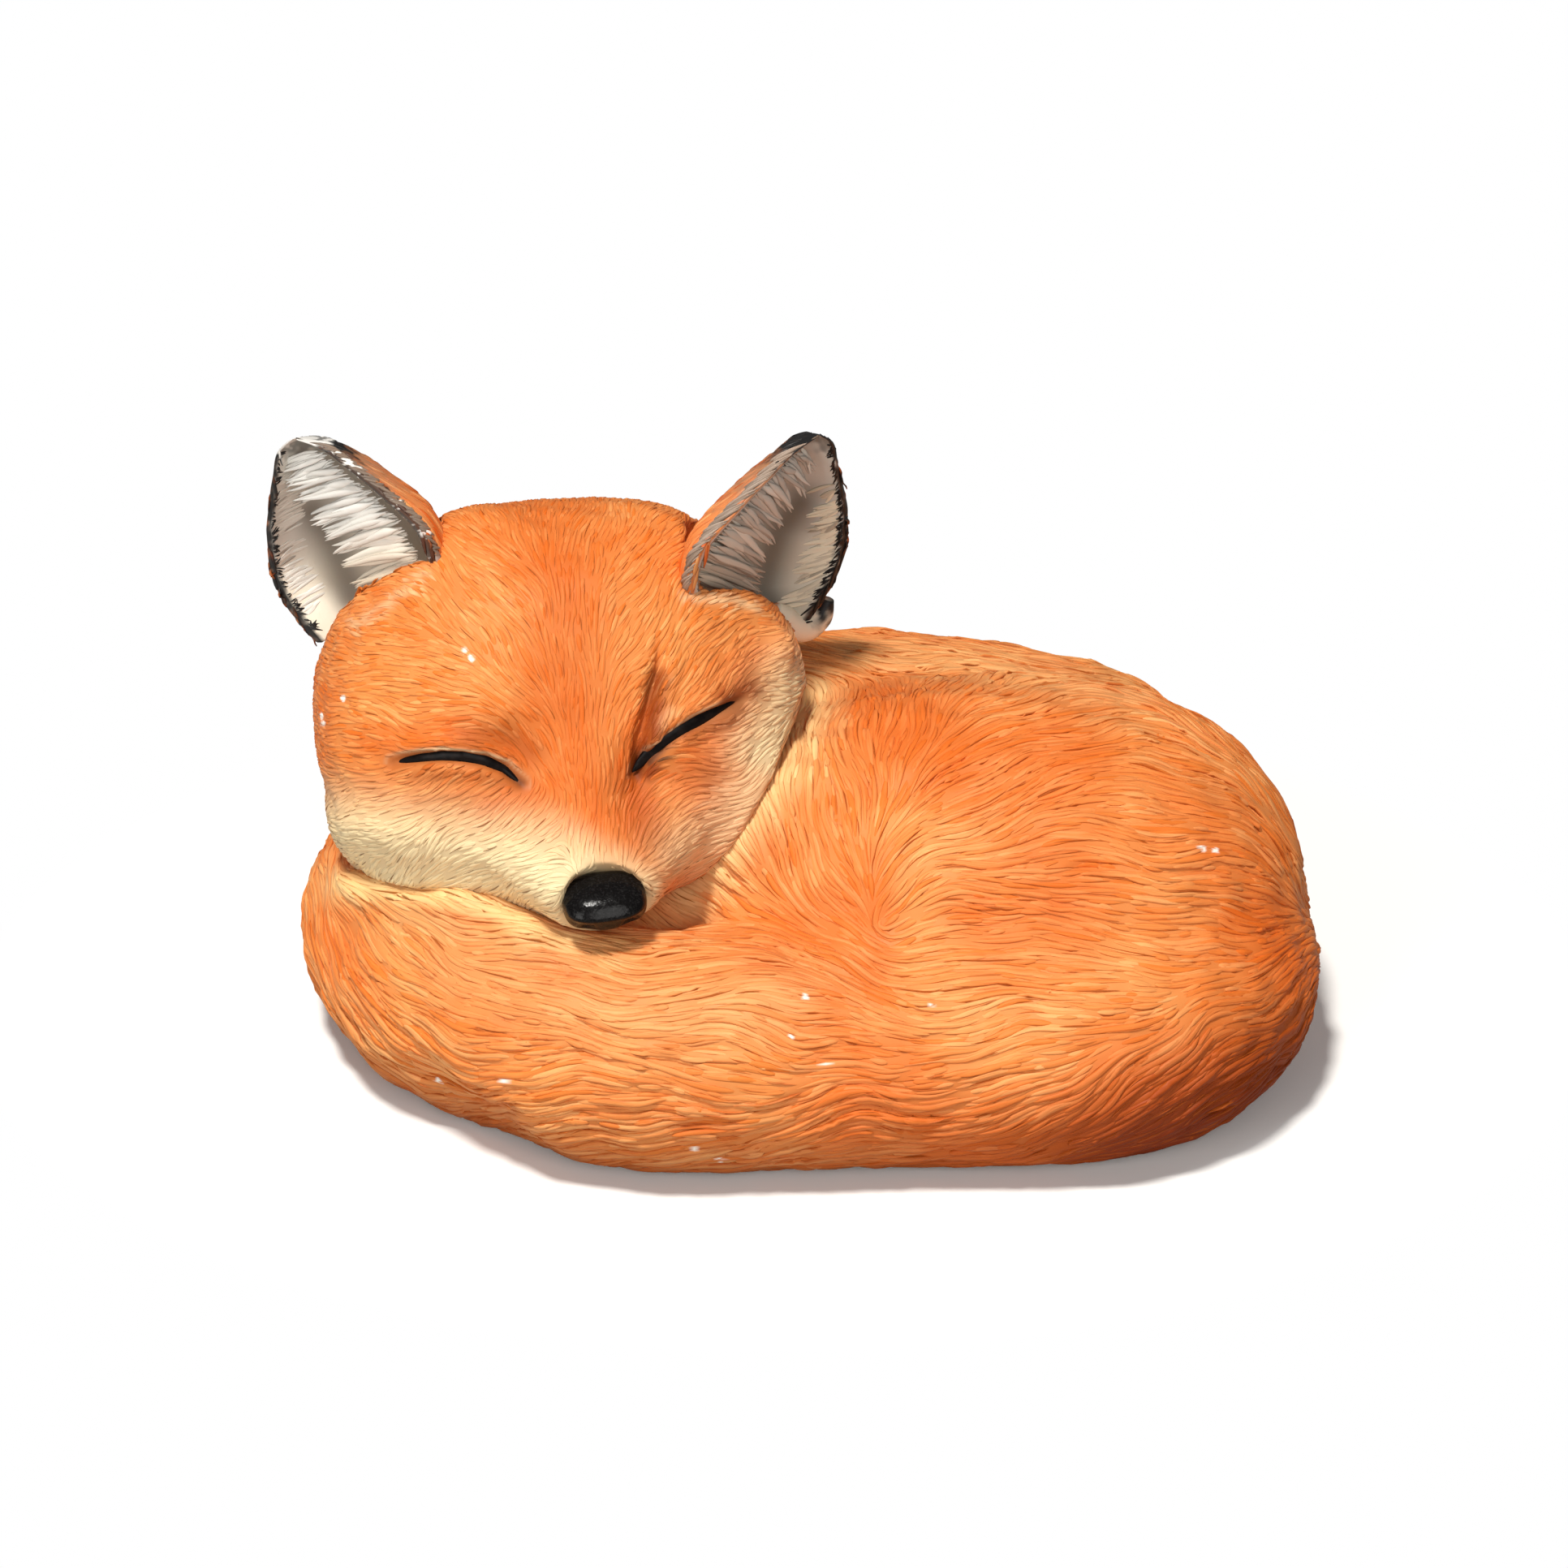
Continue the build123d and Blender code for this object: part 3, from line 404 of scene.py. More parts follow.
# Nose and ears, in millimetres and degrees
NOSE_SPOT = (-29, -48, 44)
NOSE_OFFSET = (0, -0.1, 46.2)
NOSE_RADII = (6.9, 3.5, 5.0)
NOSTRIL = (3.4, -1.6)
NOSTRIL_REACH = (1.5, 1.2)
NOSTRIL_DEPTH = 1.3
RIDGE_ROW = 1.2
RIDGE_REACH = 0.8
RIDGE_HEIGHT = 0.5
HEAD_MIDDLE = (-38.5, -6, 60)
HEAD_TURN = 12
HEAD_NOD = 107
HEAD_ROLL = 3
EAR_FEET = ((-70.5, -6, 79), (-3.5, -2, 78))
# Distances from ears and nose over which smoothing sets in, and how far strands keep from slits and nose
EAR_SPARED = (18, 24)
NOSE_SPARED = (7, 10)
SLIT_CLEAR = 1.1
NOSE_CLEAR = 7.0
SHORTEST_CUT = 2.0
EAR_WIDTH = 33.0
EAR_CUP = 14.5
# An ear's outline: shares of its height, and of half its width in each
EAR_LOW = -0.2
EAR_HIGH = 1.02
EAR_SHAPE = (
    (-0.2, 0.9), (0.0, 1.0), (0.25, 1.0), (0.5, 0.9), (0.75, 0.67), (0.9, 0.45), (0.96, 0.32), (1.0, 0.17),
    (1.02, 0.03),
)

# Colours
ORANGE_LIGHT = (0.86, 0.37, 0.12)
ORANGE_DEEP = (0.75, 0.195, 0.030)
ORANGE_RED = (0.71, 0.120, 0.009)
BODY_LIGHT = (0.86, 0.40, 0.14)
BODY_DEEP = (0.75, 0.215, 0.038)
BODY_CREAM = (0.88, 0.60, 0.27)
FACE_CREAM = (0.87, 0.70, 0.41)
GROOVE = (0.40, 0.080, 0.008)
FACE_GROOVE = (0.34, 0.085, 0.012)
BODY_CREAM_GROOVE = (0.42, 0.16, 0.03)
FACE_CREAM_GROOVE = (0.24, 0.12, 0.05)
# Dark red-brown of the painted shade in creases, round the eyes, towards the foot and on the body's right end
SHADE_BROWN = (0.21, 0.027, 0.002)
SOOT = (0.008, 0.006, 0.005)
CHIP_WHITE = (0.93, 0.88, 0.80)
EAR_GROOVE = (0.16, 0.11, 0.075)
# Tints of the ears in the order in which they are laid over each other
# The 'hollow' tint is painted shade deep in the cups; the left ear's medial rim hair takes it as a grey
EAR_TINTS = (
    ("inside", (0.80, 0.77, 0.70)), ("pale", (0.95, 0.85, 0.66)), ("hollow", (0.100, 0.082, 0.058)),
    ("brown", (0.30, 0.175, 0.105)),
)
EAR_BLACK = (0.010, 0.009, 0.009)
EAR_CHIP = (0.92, 0.89, 0.84)
TUFT_WHITE = (0.90, 0.88, 0.83)
TUFT_WARM = (0.90, 0.68, 0.38)
TUFT_GROOVE = (0.16, 0.12, 0.09)
# Painted shade on the tufts of the right ear, whose cup faces away from the light
TUFT_SHADE = (0.20, 0.150, 0.115)
EYE_BLACK = (0.003, 0.002, 0.002)
EYE_BROWN = (0.010, 0.006, 0.005)
NOSE_BLACK = (0.004, 0.0035, 0.0035)
NOSE_SPECK = (0.014, 0.013, 0.013)
FLOOR_GREY = (0.45, 0.44, 0.42)
FLOOR_WHITE = (1.0, 0.995, 0.98)
# Scale of the oval outside which the floor is plain white to the camera
FLOOR_OVAL = (9.6, 13.0, 1.0)

# A stroke ends where it is this far off the skin in millimetres or where the skin turns this sharply,
# and it is left out where this share of its first half is taken
STRAY = 1.8
SHARP = 0.7
CROWDED = 0.2
# Furrows: half a slice along one in millimetres, and where its shoulder lies and how broad it is, in widths
FURROW_SLICE = 0.32
SHOULDER_PLACE = 1.7
SHOULDER_WIDTH = 1.3
# Strokes and strands: lengths in millimetres, a full turn, and the edge values of plain surfaces
STROKE_STEP = 0.4
LONGEST_GUIDE = 25.0
FULL_TURN = 6.283
SKIN_EDGE = 0.72
EAR_EDGE = 0.5
LOBE_EDGE = 0.4
LANE_GAP = 7.0
SWAY_LENGTH = 11.0
# The outline of a strand's section: across it, and up or down
PROFILE = np.array((
    (1.0, -1.0), (0.80, 0.34), (0.44, 0.86), (0.0, 1.0), (-0.44, 0.86), (-0.80, 0.34), (-1.0, -1.0),
    (0.0, -1.6),
))

SEED = 17
rng = np.random.default_rng(SEED)
scene = bpy.context.scene


def unit(rows):
    """Rows scaled to length 1."""
    return rows / np.maximum(np.linalg.norm(rows, axis=-1, keepdims=True), 1e-9)


def bell(values):
    """1 at zero, falling off smoothly on both sides."""
    return np.exp(-values ** 2)


def to_sheet(points):
    """Where points in millimetres appear on the sheet."""
    away = EYE - points
    depth = away @ TO_EYE
    x = SHEET / 2 + FOCUS * ((points - EYE) @ SHEET_RIGHT) / depth
    y = SHEET / 2 - FOCUS * ((points - EYE) @ SHEET_UP) / depth
    return np.stack((x, y), axis=-1)


def sheet_unit(points):
    """How many millimetres one unit of the sheet is at points."""
    return ((EYE - points) @ TO_EYE) / FOCUS


def aim(x, y):
    """The direction from the camera through a place on the sheet."""
    return unit(-TO_EYE * FOCUS + SHEET_RIGHT * (x - SHEET / 2) - SHEET_UP * (y - SHEET / 2))


def cast(tree, x, y):
    """The point and the normal of a surface behind a place on the sheet, or None."""
    place, normal, _, _ = tree.ray_cast(Vector(EYE), Vector(aim(x, y)))
    if place is None:
        return None
    return np.array(place), np.array(normal)


def touch(tree, x, y):
    """As cast, or the surface's nearest point to a place far along the ray if the ray misses."""
    hit = cast(tree, x, y)
    if hit is None:
        place, normal, _, _ = tree.find_nearest(Vector(EYE + aim(x, y) * MISS_REACH))
        hit = np.array(place), np.array(normal)
    return hit


def smooth_step(low, high, values):
    """0 at low, 1 at high and a smooth change between them."""
    share = np.clip((values - low) / (high - low), 0, 1)
    return share * share * (3 - 2 * share)


def line_distance(points, line):
    """How far points are from a polyline, and how far along it, as a share, the nearest place is."""
    line = np.asarray(line, float)
    best = np.full(len(points), 1e9)
    along = np.zeros(len(points))
    lengths = np.linalg.norm(np.diff(line, axis=0), axis=1)
    starts = np.concatenate(((0,), np.cumsum(lengths)))
    for k in range(len(line) - 1):
        edge = line[k + 1] - line[k]
        share = np.clip((points - line[k]) @ edge / (edge @ edge), 0, 1)
        gap = np.linalg.norm(points - line[k] - share[:, None] * edge, axis=1)
        near = gap < best
        best[near] = gap[near]
        along[near] = (starts[k] + share[near] * lengths[k]) / starts[-1]
    return best, along


def waves(points, scale, seed):
    """Smooth random values, about -1 to 1, that change over a scale in millimetres."""
    source = np.random.default_rng(seed)
    total = np.zeros(len(points))
    for _ in range(7):
        way = unit(source.normal(size=3))
        pitch = scale * source.uniform(0.6, 1.6)
        total += np.sin(points @ way * (2 * math.pi / pitch) + source.uniform(0, FULL_TURN))
    return total / 2.6


def resample(line, share):
    """Places along a polyline, by their share of its number of steps."""
    source = np.linspace(0, 1, len(line))
    return np.stack([np.interp(share, source, line[:, k]) for k in range(3)], axis=1)


def node_mesh(name):
    """A CAD node's corners in millimetres and its triangles."""
    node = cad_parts[name]
    mesh = node.data
    corners = np.empty(len(mesh.vertices) * 3)
    mesh.vertices.foreach_get("co", corners)
    matrix = np.array(node.matrix_world)
    corners = corners.reshape(-1, 3) @ matrix[:3, :3].T + matrix[:3, 3]
    mesh.calc_loop_triangles()
    triangles = np.empty(len(mesh.loop_triangles) * 3, int)
    mesh.loop_triangles.foreach_get("vertices", triangles)
    return corners * 1000, triangles.reshape(-1, 3)


def raw_mesh(name, corners, faces):
    """A mesh from rows of corners and of equally long faces."""
    faces = np.asarray(faces)
    mesh = bpy.data.meshes.new(name)
    mesh.vertices.add(len(corners))
    mesh.vertices.foreach_set("co", np.asarray(corners, np.float32).ravel())
    mesh.loops.add(faces.size)
    mesh.loops.foreach_set("vertex_index", faces.ravel().astype(np.int32))
    mesh.polygons.add(len(faces))
    mesh.polygons.foreach_set("loop_start", np.arange(0, faces.size, faces.shape[1], dtype=np.int32))
    mesh.update(calc_edges=True)
    mesh.validate()
    return mesh


def remeshed(corners, faces, grain):
    """Corners and quads of a shape made again from cells of one size."""
    mesh = raw_mesh("rough", corners, faces)
    rough = bpy.data.objects.new("rough", mesh)
    scene.collection.objects.link(rough)
    modifier = rough.modifiers.new("REMESH", "REMESH")
    modifier.mode = "VOXEL"
    modifier.voxel_size = grain
    modifier.adaptivity = 0.0
    graph = bpy.context.evaluated_depsgraph_get()
    result = bpy.data.meshes.new_from_object(rough.evaluated_get(graph))
    corners = np.empty(len(result.vertices) * 3)
    result.vertices.foreach_get("co", corners)
    quads = np.empty(len(result.loops), int)
    result.loops.foreach_get("vertex_index", quads)
    bpy.data.objects.remove(rough)
    bpy.data.meshes.remove(mesh)
    bpy.data.meshes.remove(result)
    return corners.reshape(-1, 3), quads.reshape(-1, 4)


def joined(parts):
    """Several (corners, faces) as one."""
    corners = []
    faces = []
    count = 0
    for points, rows in parts:
        corners.append(points)
        faces.append(np.asarray(rows) + count)
        count += len(points)
    return np.concatenate(corners), np.concatenate(faces)


def tube(rings):
    """Corners and quads of closed rings in a row, with a fan of quads at each end."""
    rings = np.asarray(rings)
    rows, cols, _ = rings.shape
    corners = rings.reshape(-1, 3)
    index = np.arange(rows * cols).reshape(rows, cols)
    turned = np.roll(index, -1, axis=1)
    faces = np.stack((index[:-1], turned[:-1], turned[1:], index[1:]), axis=-1).reshape(-1, 4)
    half = cols // 2
    caps = []
    for row, flip in ((0, True), (rows - 1, False)):
        for k in range(half - 1):
            quad = [index[row, k], index[row, k + 1], index[row, cols - 2 - k], index[row, cols - 1 - k]]
            caps.append(quad[::-1] if flip else quad)
    return corners, np.concatenate((faces, np.array(caps)))


def rod(centre, across, lift, wide, tall, sides):
    """A closed tube with oval rings round a line."""
    turn = np.linspace(0, 2 * math.pi, sides, endpoint=False)
    flat = np.outer(wide, np.cos(turn))[..., None] * across[:, None]
    deep = np.outer(tall, np.sin(turn))[..., None] * lift[:, None]
    return tube(centre[:, None] + flat + deep)


class Skin:
    """A closed surface of quads that can be smoothed, brushed and combed."""

    def __init__(self, corners, quads):
        self.points = corners.copy()
        self.quads = quads
        self.start = quads.ravel()
        self.end = np.roll(quads, -1, axis=1).ravel()
        self.count = np.maximum(np.bincount(self.start, minlength=len(corners)), 1)

    def mean(self):
        """Each corner's mean of its neighbours' places."""
        columns = [np.bincount(self.start, self.points[self.end, k], len(self.points)) for k in range(3)]
        return np.stack(columns, axis=1) / self.count[:, None]

    def normals(self):
        """The outward unit normal at each corner."""
        p = self.points
        q = self.quads
        across = np.cross(p[q[:, 2]] - p[q[:, 0]], p[q[:, 3]] - p[q[:, 1]])
        total = np.zeros_like(p)
        for k in range(4):
            for axis in range(3):
                total[:, axis] += np.bincount(q[:, k], across[:, axis], len(p))
        return unit(total)

    def relax(self, rounds, mask=1.0):
        """Plain smoothing, weaker where a mask is low."""
        for _ in range(rounds):
            step = (self.mean() - self.points) * 0.5
            self.points += step * np.reshape(mask, (-1, 1))

    def fill(self, rounds, mask):
        """Smoothing that fills valleys and leaves ridges as they are."""
        for turn in range(rounds):
            if turn % 8 == 0:
                normal = self.normals()
            step = self.mean() - self.points
            out = (step * normal).sum(1)
            level = step - out[:, None] * normal
            self.points += (np.clip(out, 0, None) * mask)[:, None] * normal + level * (0.4 * mask[:, None])

    def tree(self):
        """A search tree for rays."""
        return BVHTree.FromPolygons([tuple(p) for p in self.points.tolist()], self.quads.tolist())

    def brush(self, tree, rows, way=None):
        """Moves the skin at places on the sheet, outwards or in one given way."""
        for x, y, radius, out in rows:
            spot, normal = touch(tree, x, y)
            near = np.exp(-((self.points - spot) ** 2).sum(1) / (2 * radius ** 2))
            self.points += near[:, None] * (out * (normal if way is None else way))


class Finder:
    """Finds a corner near a place by looking it up in a grid of cells."""

    def __init__(self, points, cell):
        self.cell = cell
        self.low = points.min(0) - 4 * cell
        self.shape = np.ceil((points.max(0) + 4 * cell - self.low) / cell).astype(int) + 1
        table = np.full(self.shape, -1, np.int32)
        spot = np.floor((points - self.low) / cell).astype(int)
        table[spot[:, 0], spot[:, 1], spot[:, 2]] = np.arange(len(points))
        for _ in range(3):
            for axis in range(3):
                for shift in (1, -1):
                    near = np.roll(table, shift, axis)
                    table = np.where(table < 0, near, table)
        self.table = table

    def __call__(self, places):
        """A corner near each place."""
        spot = np.clip(np.floor((places - self.low) / self.cell).astype(int), 0, self.shape - 1)
        return np.maximum(self.table[spot[:, 0], spot[:, 1], spot[:, 2]], 0)


def guide_rows(tree, strokes, far):
    """Places, directions and normals of guide strokes, laid on a surface."""
    rows = []
    for x0, y0, x1, y1 in strokes:
        first = cast(tree, x0, y0)
        last = cast(tree, x1, y1)
        if first is None or last is None or np.linalg.norm(last[0] - first[0]) > LONGEST_GUIDE:
            continue
        rows.append(((first[0] + last[0]) / 2, unit(last[0] - first[0]), unit(first[1] + last[1])))
    for place, way in far:
        spot, normal, _, _ = tree.find_nearest(Vector(place))
        rows.append((np.array(spot), unit(np.array(way, float)), np.array(normal)))
    return [np.array(column) for column in zip(*rows)]


def flow_field(skin, normal, guides, reach, sweep):
    """The direction of the hair at each corner of a skin, with a sweep of waves in it."""
    place, way, face = guides
    pairs = ((0, 0), (1, 1), (2, 2), (0, 1), (0, 2), (1, 2))
    tensor = np.stack([way[:, i] * way[:, j] for i, j in pairs], axis=1)
    flow = np.empty_like(skin.points)
    batch = 20000
    far_share = 2e-3
    far_spread = 1800
    least_facing = 0.03
    for low in range(0, len(skin.points), batch):
        p = skin.points[low:low + batch]
        n = normal[low:low + batch]
        gap = np.maximum((p ** 2).sum(1)[:, None] + (place ** 2).sum(1) - 2 * p @ place.T, 0)
        weight = np.exp(-gap / (2 * reach ** 2)) + far_share * np.exp(-gap / far_spread) + 1e-9 / (gap + 1)
        weight *= np.clip(n @ face.T, least_facing, 1)
        t = weight @ tensor
        lead = weight @ way
        helper = np.where(np.abs(n[:, 2:3]) < 0.9, (0.0, 0.0, 1.0), (1.0, 0.0, 0.0))
        e1 = unit(np.cross(helper, n))
        e2 = np.cross(n, e1)
        full = np.empty((len(p), 3, 3))
        for k, (i, j) in enumerate(pairs):
            full[:, i, j] = t[:, k]
            full[:, j, i] = t[:, k]
        t11 = np.einsum("ni,nij,nj->n", e1, full, e1)
        t22 = np.einsum("ni,nij,nj->n", e2, full, e2)
        t12 = np.einsum("ni,nij,nj->n", e1, full, e2)
        turn = 0.5 * np.arctan2(2 * t12, t11 - t22)
        way_here = np.cos(turn)[:, None] * e1 + np.sin(turn)[:, None] * e2
        sign = np.where((way_here * lead).sum(1) < 0, -1.0, 1.0)
        flow[low:low + batch] = way_here * sign[:, None]
    angle = 0.22 * waves(skin.points, 2.4 * sweep, 31) + 0.06 * waves(skin.points, sweep, 32)
    return np.cos(angle)[:, None] * flow + np.sin(angle)[:, None] * np.cross(normal, flow)


def comb(skin, normal, flow, find, seeds, lengths, spacing, bend):
    """Evenly spaced strokes along the flow: a list of (points, directions, normals)."""
    total = int(lengths[1] / STROKE_STEP) + 1
    place = skin.points[seeds]
    way = flow[seeds] * rng.choice((-1.0, 1.0), (len(seeds), 1))
    curl = rng.normal(0, bend, len(seeds)) * STROKE_STEP
    places = [place]
    ways = [way]
    faces = [normal[seeds]]
    lost = [np.zeros(len(seeds), bool)]
    for _ in range(total - 1):
        place = place + way * STROKE_STEP
        near = find(place)
        n = normal[near]
        stray = np.linalg.norm(place - skin.points[near], axis=1) > STRAY
        bent = (n * faces[-1]).sum(1) < SHARP
        lost.append(lost[-1] | stray | bent)
        place = place - ((place - skin.points[near]) * n).sum(1)[:, None] * n
        ahead = flow[near]
        ahead = ahead * np.where((ahead * way).sum(1) < 0, -1.0, 1.0)[:, None]
        ahead = unit(0.5 * ahead + 0.5 * way)
        ahead = unit(ahead + np.cross(n, ahead) * curl[:, None])
        way = unit(ahead - (ahead * n).sum(1)[:, None] * n)
        places.append(place)
        ways.append(way)
        faces.append(n)
    places = np.stack(places, axis=1)
    ways = np.stack(ways, axis=1)
    faces = np.stack(faces, axis=1)
    sound = total - np.sum(lost, axis=0)
    cell = spacing / 2
    low = skin.points.min(0) - 3
    shape = np.ceil((skin.points.max(0) + 3 - low) / cell).astype(int) + 1
    taken = np.zeros(shape, bool)
    strokes = []
    wanted = (rng.uniform(lengths[0], lengths[1], len(seeds)) / STROKE_STEP).astype(int)
    shortest = lengths[0] / STROKE_STEP
    side = np.cross(faces, ways) * (spacing * 0.5)
    for k in range(len(seeds)):
        size = min(wanted[k], sound[k])
        if size < shortest:
            continue
        spot = np.clip(((places[k, :size] - low) / cell).astype(int), 0, shape - 1)
        used = taken[spot[:, 0], spot[:, 1], spot[:, 2]]
        half = size // 2
        if used[:half].mean() > CROWDED:
            continue
        if used[half:].any():
            size = max(half, half + int(np.argmax(used[half:])))
        if size < shortest:
            continue
        for offset in (0, 1, -1):
            spot = ((places[k, :size] + offset * side[k, :size] - low) / cell).astype(int)
            spot = np.clip(spot, 0, shape - 1)
            taken[spot[:, 0], spot[:, 1], spot[:, 2]] = True
        strokes.append((places[k, :size], ways[k, :size], faces[k, :size]))
    return strokes


def carve(points, strokes, width, taper):
    """How deep each point lies in a stroke, from 0 to 1, and how far up its shoulder."""
    columns = [[] for _ in range(6)]
    for p, d, n in strokes:
        share = np.linspace(0, 1, len(p))
        strong = 0.3 + 0.7 * rng.uniform()
        depth = strong * np.clip(np.sin(math.pi * share ** taper), 0, 1) ** 0.6
        broad = width * rng.uniform(0.75, 1.3) * (0.55 + 0.45 * np.sin(math.pi * share))
        lean = np.full(len(p), rng.choice((-1.0, 1.0)))
        for column, rows in zip(columns, (p, d, np.cross(n, d), depth, broad, lean)):
            column.append(rows)
    spots, ways, sides, depths, widths, leans = (np.concatenate(column) for column in columns)
    reach = max(3.2 * width, 1.0)
    low = points.min(0) - 2 * reach
    shape = np.ceil((points.max(0) + 2 * reach - low) / reach).astype(np.int64) + 1

    def key(cells):
        """One number for each cell."""
        return (cells[:, 0] * shape[1] + cells[:, 1]) * shape[2] + cells[:, 2]

    keys = key(np.floor((points - low) / reach).astype(np.int64))
    order = np.argsort(keys, kind="stable")
    keys = keys[order]
    cells = np.floor((spots - low) / reach).astype(np.int64)
    groove = np.zeros(len(points))
    shoulder = np.zeros(len(points))
    for shift in np.ndindex(3, 3, 3):
        wanted = key(cells + np.array(shift) - 1)
        first = np.searchsorted(keys, wanted, "left")
        size = np.searchsorted(keys, wanted, "right") - first
        sample = np.repeat(np.arange(len(spots)), size)
        if not len(sample):
            continue
        step = np.arange(len(sample)) - np.repeat(np.cumsum(size) - size, size)
        corner = order[np.repeat(first, size) + step]
        gap = points[corner] - spots[sample]
        keep = (np.abs((gap * ways[sample]).sum(1)) < FURROW_SLICE) & ((gap ** 2).sum(1) < reach ** 2)
        sample, corner = sample[keep], corner[keep]
        across = (gap[keep] * sides[sample]).sum(1)
        np.maximum.at(groove, corner, bell(across / widths[sample]) * depths[sample])
        beside = (across * leans[sample] / widths[sample] - SHOULDER_PLACE) / SHOULDER_WIDTH
        np.maximum.at(shoulder, corner, bell(beside) * depths[sample])
    return groove, shoulder


class Coat:
    """A skin with strands laid along strokes over it, as one mesh, and the values its paint needs."""

    def __init__(self, skin):
        self.parts = []
        self.facing = []
        self.values = {"lane": [], "edge": [], "along": [], "tone": []}
        self.number = 0
        self.add(skin.points, skin.quads, skin.normals(), len(skin.points), edge=SKIN_EDGE)

    def add(self, corners, quads, facing, shape, lane=0.0, edge=0.0, along=0.0, tone=0.0):
        """Adds a closed shape with the directions it faces and its paint values."""
        self.parts.append((corners, quads))
        self.facing.append(facing)
        for key, value in (("lane", lane), ("edge", edge), ("along", along), ("tone", tone)):
            self.values[key].append(np.broadcast_to(value, shape).ravel())

    def lay(self, strokes, rows, width, height, sink, line=False):
        """Adds a flattened, tapering ridge for each stroke, or a thin dark line."""
        share = np.linspace(0, 1, rows)
        count = len(strokes)
        centre, way, up = np.empty((3, count, rows, 3))
        length = np.empty((count, 1))
        for k, stroke in enumerate(strokes):
            at = share * (len(stroke[0]) - 1)
            low = np.minimum(at.astype(int), len(stroke[0]) - 2)
            part = (at - low)[:, None]
            for target, source in zip((centre, way, up), stroke):
                target[k] = source[low] * (1 - part) + source[low + 1] * part
            length[k] = STROKE_STEP * len(stroke[0])
        side = unit(np.cross(up, way))
        up = unit(np.cross(way, side))
        phase = rng.uniform(0, FULL_TURN, (count, 1))
        wander = np.sin(share * FULL_TURN * length / SWAY_LENGTH + phase)
        sway = rng.uniform(0.05, 0.3, (count, 1)) * width * wander
        centre = centre + side * sway[..., None]
        swell = np.clip(np.sin(math.pi * share ** 0.75), 0, 1) ** 0.55
        wide = width * rng.uniform(0.8, 1.25, (count, 1)) * (0.04 + 0.96 * swell ** 1.7)
        high = height * rng.uniform(0.6, 1.3, (count, 1)) * swell - 0.5 * sink * (1 - swell)
        lean = rng.normal(0, 0.25, (count, 1))
        x, y = PROFILE.T
        dome = y + lean[..., None] * x * (1 - np.abs(x))
        rise = np.where(y > 0, high[..., None] * dome, sink * y)
        points = (centre[:, :, None] + side[:, :, None] * (wide[..., None] * x)[..., None]
                  + up[:, :, None] * rise[..., None])
        shape = (count, rows, len(x))
        ring = tube(np.zeros((rows, len(x), 3)))[1]
        quads = ring[None] + (np.arange(count) * rows * len(x))[:, None, None]
        facing = np.broadcast_to(up[:, :, None], (*shape, 3)).reshape(-1, 3)
        lane = x + LANE_GAP * (self.number + np.arange(count))[:, None, None]
        self.number += count
        edge = np.where(y < -1.5, 1.0, np.abs(x))
        if line:
            edge = SKIN_EDGE + (1 - SKIN_EDGE) * rng.uniform(0, 1, (count, 1, 1)) ** 1.3
        along = (share * length)[..., None]
        tone = rng.normal(size=(count, 1, 1))
        self.add(points.reshape(-1, 3), quads.reshape(-1, 4), facing, shape, lane, edge, along, tone)

    def join(self):
        """Corners, quads, directions and paint values of the whole coat."""
        corners, quads = joined(self.parts)
        values = {key: np.concatenate(rows) for key, rows in self.values.items()}
        return corners, quads, np.concatenate(self.facing), values


def clear_of(strokes, line, radius, shortest):
    """Strokes cut off before they come within a radius of a line."""
    kept = []
    for p, d, n in strokes:
        near = line_distance(p, line)[0] < radius
        size = int(np.argmax(near)) if near.any() else len(p)
        if size * STROKE_STEP >= shortest:
            kept.append((p[:size], d[:size], n[:size]))
    return kept


def seeds_on(skin, cell, allowed):
    """One corner in each cell of a grid, in random order."""
    ids = np.nonzero(allowed)[0]
    ids = rng.permutation(ids)
    spot = np.floor(skin.points[ids] / cell).astype(np.int64)
    key = (spot[:, 0] + 5000) * 10 ** 8 + (spot[:, 1] + 5000) * 10 ** 4 + spot[:, 2] + 5000
    _, first = np.unique(key, return_index=True)
    return rng.permutation(ids[first])


def zones(sheet, seen, rows, start=0.0):
    """Paint values that are strongest along lines on the sheet, over those that are there already."""
    for line, radius, strength in rows:
        gap, _ = line_distance(sheet, line)
        start = np.maximum(start, strength * bell(gap / radius) * seen)
    return start


def chips(points, seen, rows, stretch, rough):
    """Ragged little spots, each at a place on the sheet."""
    sheet = to_sheet(points)
    ragged = rough * waves(points, 1.2, 5)
    spots = np.zeros(len(points))
    for x, y, size in rows:
        gap = np.hypot((sheet[:, 0] - x) * stretch[0], (sheet[:, 1] - y) * stretch[1])
        spots = np.maximum(spots, smooth_step(size + 1.5, size - 0.5, gap + ragged) * seen)
    return spots


def piece(name, corners, faces, material, node, slot, **attributes):
    """A finished piece in metres, with a value at each corner for each named attribute."""
    mesh = raw_mesh(name, np.asarray(corners) * 0.001, faces)
    mesh.polygons.foreach_set("use_smooth", np.ones(len(mesh.polygons), bool))
    for key, values in attributes.items():
        layer = mesh.attributes.new(key, "FLOAT", "POINT")
        layer.data.foreach_set("value", np.asarray(values, np.float32))
    mesh.materials.append(material)
    made = bpy.data.objects.new(name, mesh)
    scene.collection.objects.link(made)
    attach(made, "root")
    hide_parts(node)


